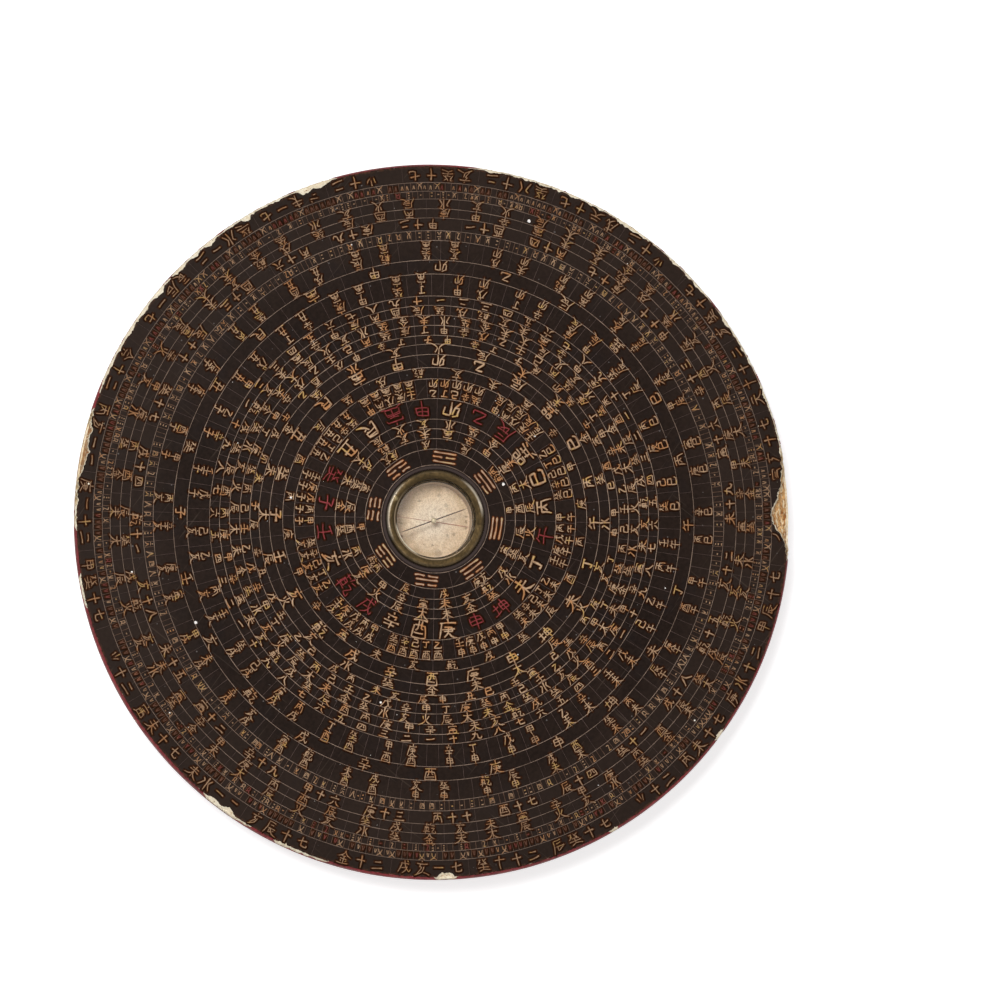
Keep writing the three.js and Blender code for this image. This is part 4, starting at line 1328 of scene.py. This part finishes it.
# Paints: light, middle and dark tones, patches of other tones with their scale and how rare they are, gloss
paints = {
    "goldPaint": ((210, 176, 142), (186, 147, 113), (124, 88, 62),
                  (((202, 138, 84), 0.23, 0.55), ((212, 172, 98), 0.31, 0.6))),
    "brownSize": ((58, 33, 20), (50, 28, 16), (63, 39, 26), (), 0.0),
    "redPaint": ((164, 72, 76), (142, 52, 56), (96, 38, 40)),
    "darkRedPaint": ((152, 82, 74), (126, 62, 58), (94, 48, 44), (((196, 142, 104), 0.3, 0.56),)),
    "brownPaint": ((140, 98, 78), (114, 78, 62), (88, 60, 50)),
    "linePaint": ((184, 158, 138), (152, 128, 112), (104, 86, 76)),
    "degreePaint": ((150, 116, 94), (124, 94, 76), (88, 66, 54)),
    "cellPaint": ((118, 98, 92), (96, 78, 74), (58, 46, 42)),
    "barPaint": ((196, 164, 136), (176, 138, 110), (132, 94, 66),
                 (((190, 132, 88), 0.2, 0.56), ((194, 168, 124), 0.14, 0.54))),
    "barUnder": ((98, 48, 18), (82, 38, 12), (60, 30, 12), (), 0.0),
    "fadedRed": ((204, 160, 134), (184, 128, 102), (150, 94, 72)),
}

# Build
print("materials")
paint = {name: makePaint(name, *values) for name, values in paints.items()}
creamGround = makeCreamGround()
rubbedBrass = makeBrass("rubbedBrass", (214, 198, 160), (140, 120, 82), 0.9, 0.22, 0.42)
capBrass = makeBrass("capBrass", (220, 206, 176), (184, 166, 132), 0.2, 0.5, 0.65)

print("wood, ground and skins")
dress(makeWood(), makeBrokenWood(), "disc", "wood", "wood_disc")
dress(makeGround(), creamGround, "disc", "ground", "ground_coat")
dress(makeFaceSkin(), makeBlackLacquer(), "disc", "black_lacquer", "face_lacquer")
dress(makeBackSkin(), makeRedLacquer(), "disc", "red_lacquer", "back_lacquer")

print("pool, bezel and needle")
dress(makeBezel(), makeOldBrass(), "disc", "old_brass", "bezel_ring")
dress(makeGlass(), makeClearGlass(), "disc", "glass", "pool_glass")
dress(makeWire(), makeWireBrass(), "disc", "bright_brass", "glass_wire")
dress(makeCard(), makeAgedCard(), "disc", "floor_card", "pool_floor")
dress(makeBlade(), makeBrownSteel(), "needle", "needle_steel", "needle_blade")
dress(makeCap(), capBrass, "needle", "bright_brass", "needle_cap")
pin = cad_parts["pivot_pin"]
pin.data.materials.clear()
pin.data.materials.append(rubbedBrass)

print("ruled lines")
circles, cells, degrees = makeRuledLines()
dress(circles, paint["linePaint"], "disc", "line_paint")
dress(cells, paint["cellPaint"], "disc", "line_paint")
dress(degrees, paint["degreePaint"], "disc", "line_paint")

print("signs")
signRelief = {"underlay": 0.01, "underlayMargin": 0.52, "signs": 0.2, "lift": 0.012}
inks = {"signs_main_red": "redPaint", "marks_red": "darkRedPaint", "marks_brown": "brownPaint"}
for name, strokes in writeRings().items():
    strokes = onSkin(strokes)
    piece = curveMesh(name, strokes, faceLevel + signRelief["lift"], signRelief["signs"])
    dress(piece, paint[inks.get(name, "goldPaint")], "disc", "red_paint" if name in inks else "gold_paint")
    if name != "marks_gold":  # the brown size that the gold was laid on shows round the strokes
        wide = spreadStrokes(strokes, signRelief["underlayMargin"])
        piece = curveMesh(name + "_size", wide, faceLevel, signRelief["underlay"])
        dress(piece, paint["brownSize"], "disc", "red_paint")
bars = makeBarStrokes()
wide = spreadStrokes(bars, trigrams["underlay"])
dress(curveMesh("trigram_underlay", wide, faceLevel, 0.04, 1), paint["barUnder"], "disc", "red_paint")
dress(curveMesh("trigram_bars", bars, faceLevel + 0.02, 0.22, 1), paint["barPaint"], "disc", "gold_paint")
dress(makeWhiteSpecks(), creamGround, "disc", "ground")

northLine = {"length": 21.6, "halfWidth": 0.13}
points = np.array([[0, t * northLine["length"] / 2] for t in np.linspace(-1, 1, 9)])
widths = northLine["halfWidth"] * np.linspace(1.3, 0.7, 9)
piece = curveMesh("north_line", [(points, widths)], floorHigh.z - 0.02, 0.3)
dress(piece, paint["fadedRed"], "disc", "red_paint")

# Floor, light and camera


def seenRays(tree):  # one for what the camera sees, also in a mirror or through glass
    rays = addNode(tree, "ShaderNodeLightPath", {})
    mirrored = calculate(tree, "MAXIMUM", rays["Is Glossy Ray"], rays["Is Transmission Ray"])
    return calculate(tree, "MAXIMUM", rays["Is Camera Ray"], mirrored)


print("stage")
deselectAll()
bpy.ops.mesh.primitive_plane_add(size=6)
floor = bpy.context.object
floor.name = "floor"
pale = Finish("paleFloor", Roughness=0.9, Specular_IOR_Level=0.0, Base_Color=(0.85, 0.85, 0.85, 1))
pale.shader.inputs["Emission Color"].default_value = (1, 1, 1, 1)
glow = pale.outwards(300, 1400, 0.6, 1.0)  # as pale far away as near
pale.link(pale.multiply(seenRays(pale.tree), glow), "Emission Strength")
floor.data.materials.append(pale.material)

world = bpy.data.worlds.new("studio")
bpy.context.scene.world = world
world.use_nodes = True
background = world.node_tree.nodes["Background"]
background.inputs[0].default_value = (1, 1, 1, 1)
strength = remap(world.node_tree, seenRays(world.node_tree), 0, 1, 0.22, 1.0)
world.node_tree.links.new(strength, background.inputs[1])

lights = [
    {"name": "key", "at": (0.17, 0.3, 1.08), "size": 0.36, "power": 8.8},
    {"name": "fill", "at": (-0.5, -0.45, 0.8), "size": 0.9, "power": 1.8},
]
for light in lights:
    deselectAll()
    bpy.ops.object.light_add(type="AREA", location=light["at"])
    lamp = bpy.context.object
    lamp.name = light["name"]
    lamp.data.size = light["size"]
    lamp.data.energy = light["power"]
    lamp.rotation_euler = (-Vector(light["at"])).to_track_quat("-Z", "Y").to_euler()

view = {"at": (-111.3, 74.1, 1176), "towards": (8.56, -18.5, 18), "upBearing": 81.87, "lens": 139.7}
deselectAll()
bpy.ops.object.camera_add()
camera = bpy.context.object
camera.name = "camera"
camera.data.lens = view["lens"]
camera.data.sensor_width = 36
camera.data.sensor_fit = "HORIZONTAL"
camera.data.clip_start = 0.01
back = (Vector(view["at"]) - Vector(view["towards"])).normalized()
up = Vector((*heading(view["upBearing"]), 0))
right = up.cross(back).normalized()
turn = Matrix((right, back.cross(right), back)).transposed().to_4x4()
camera.matrix_world = Matrix.Translation(Vector(view["at"]) * mm) @ turn
bpy.context.scene.camera = camera
bpy.context.scene.view_settings.view_transform = "Standard"
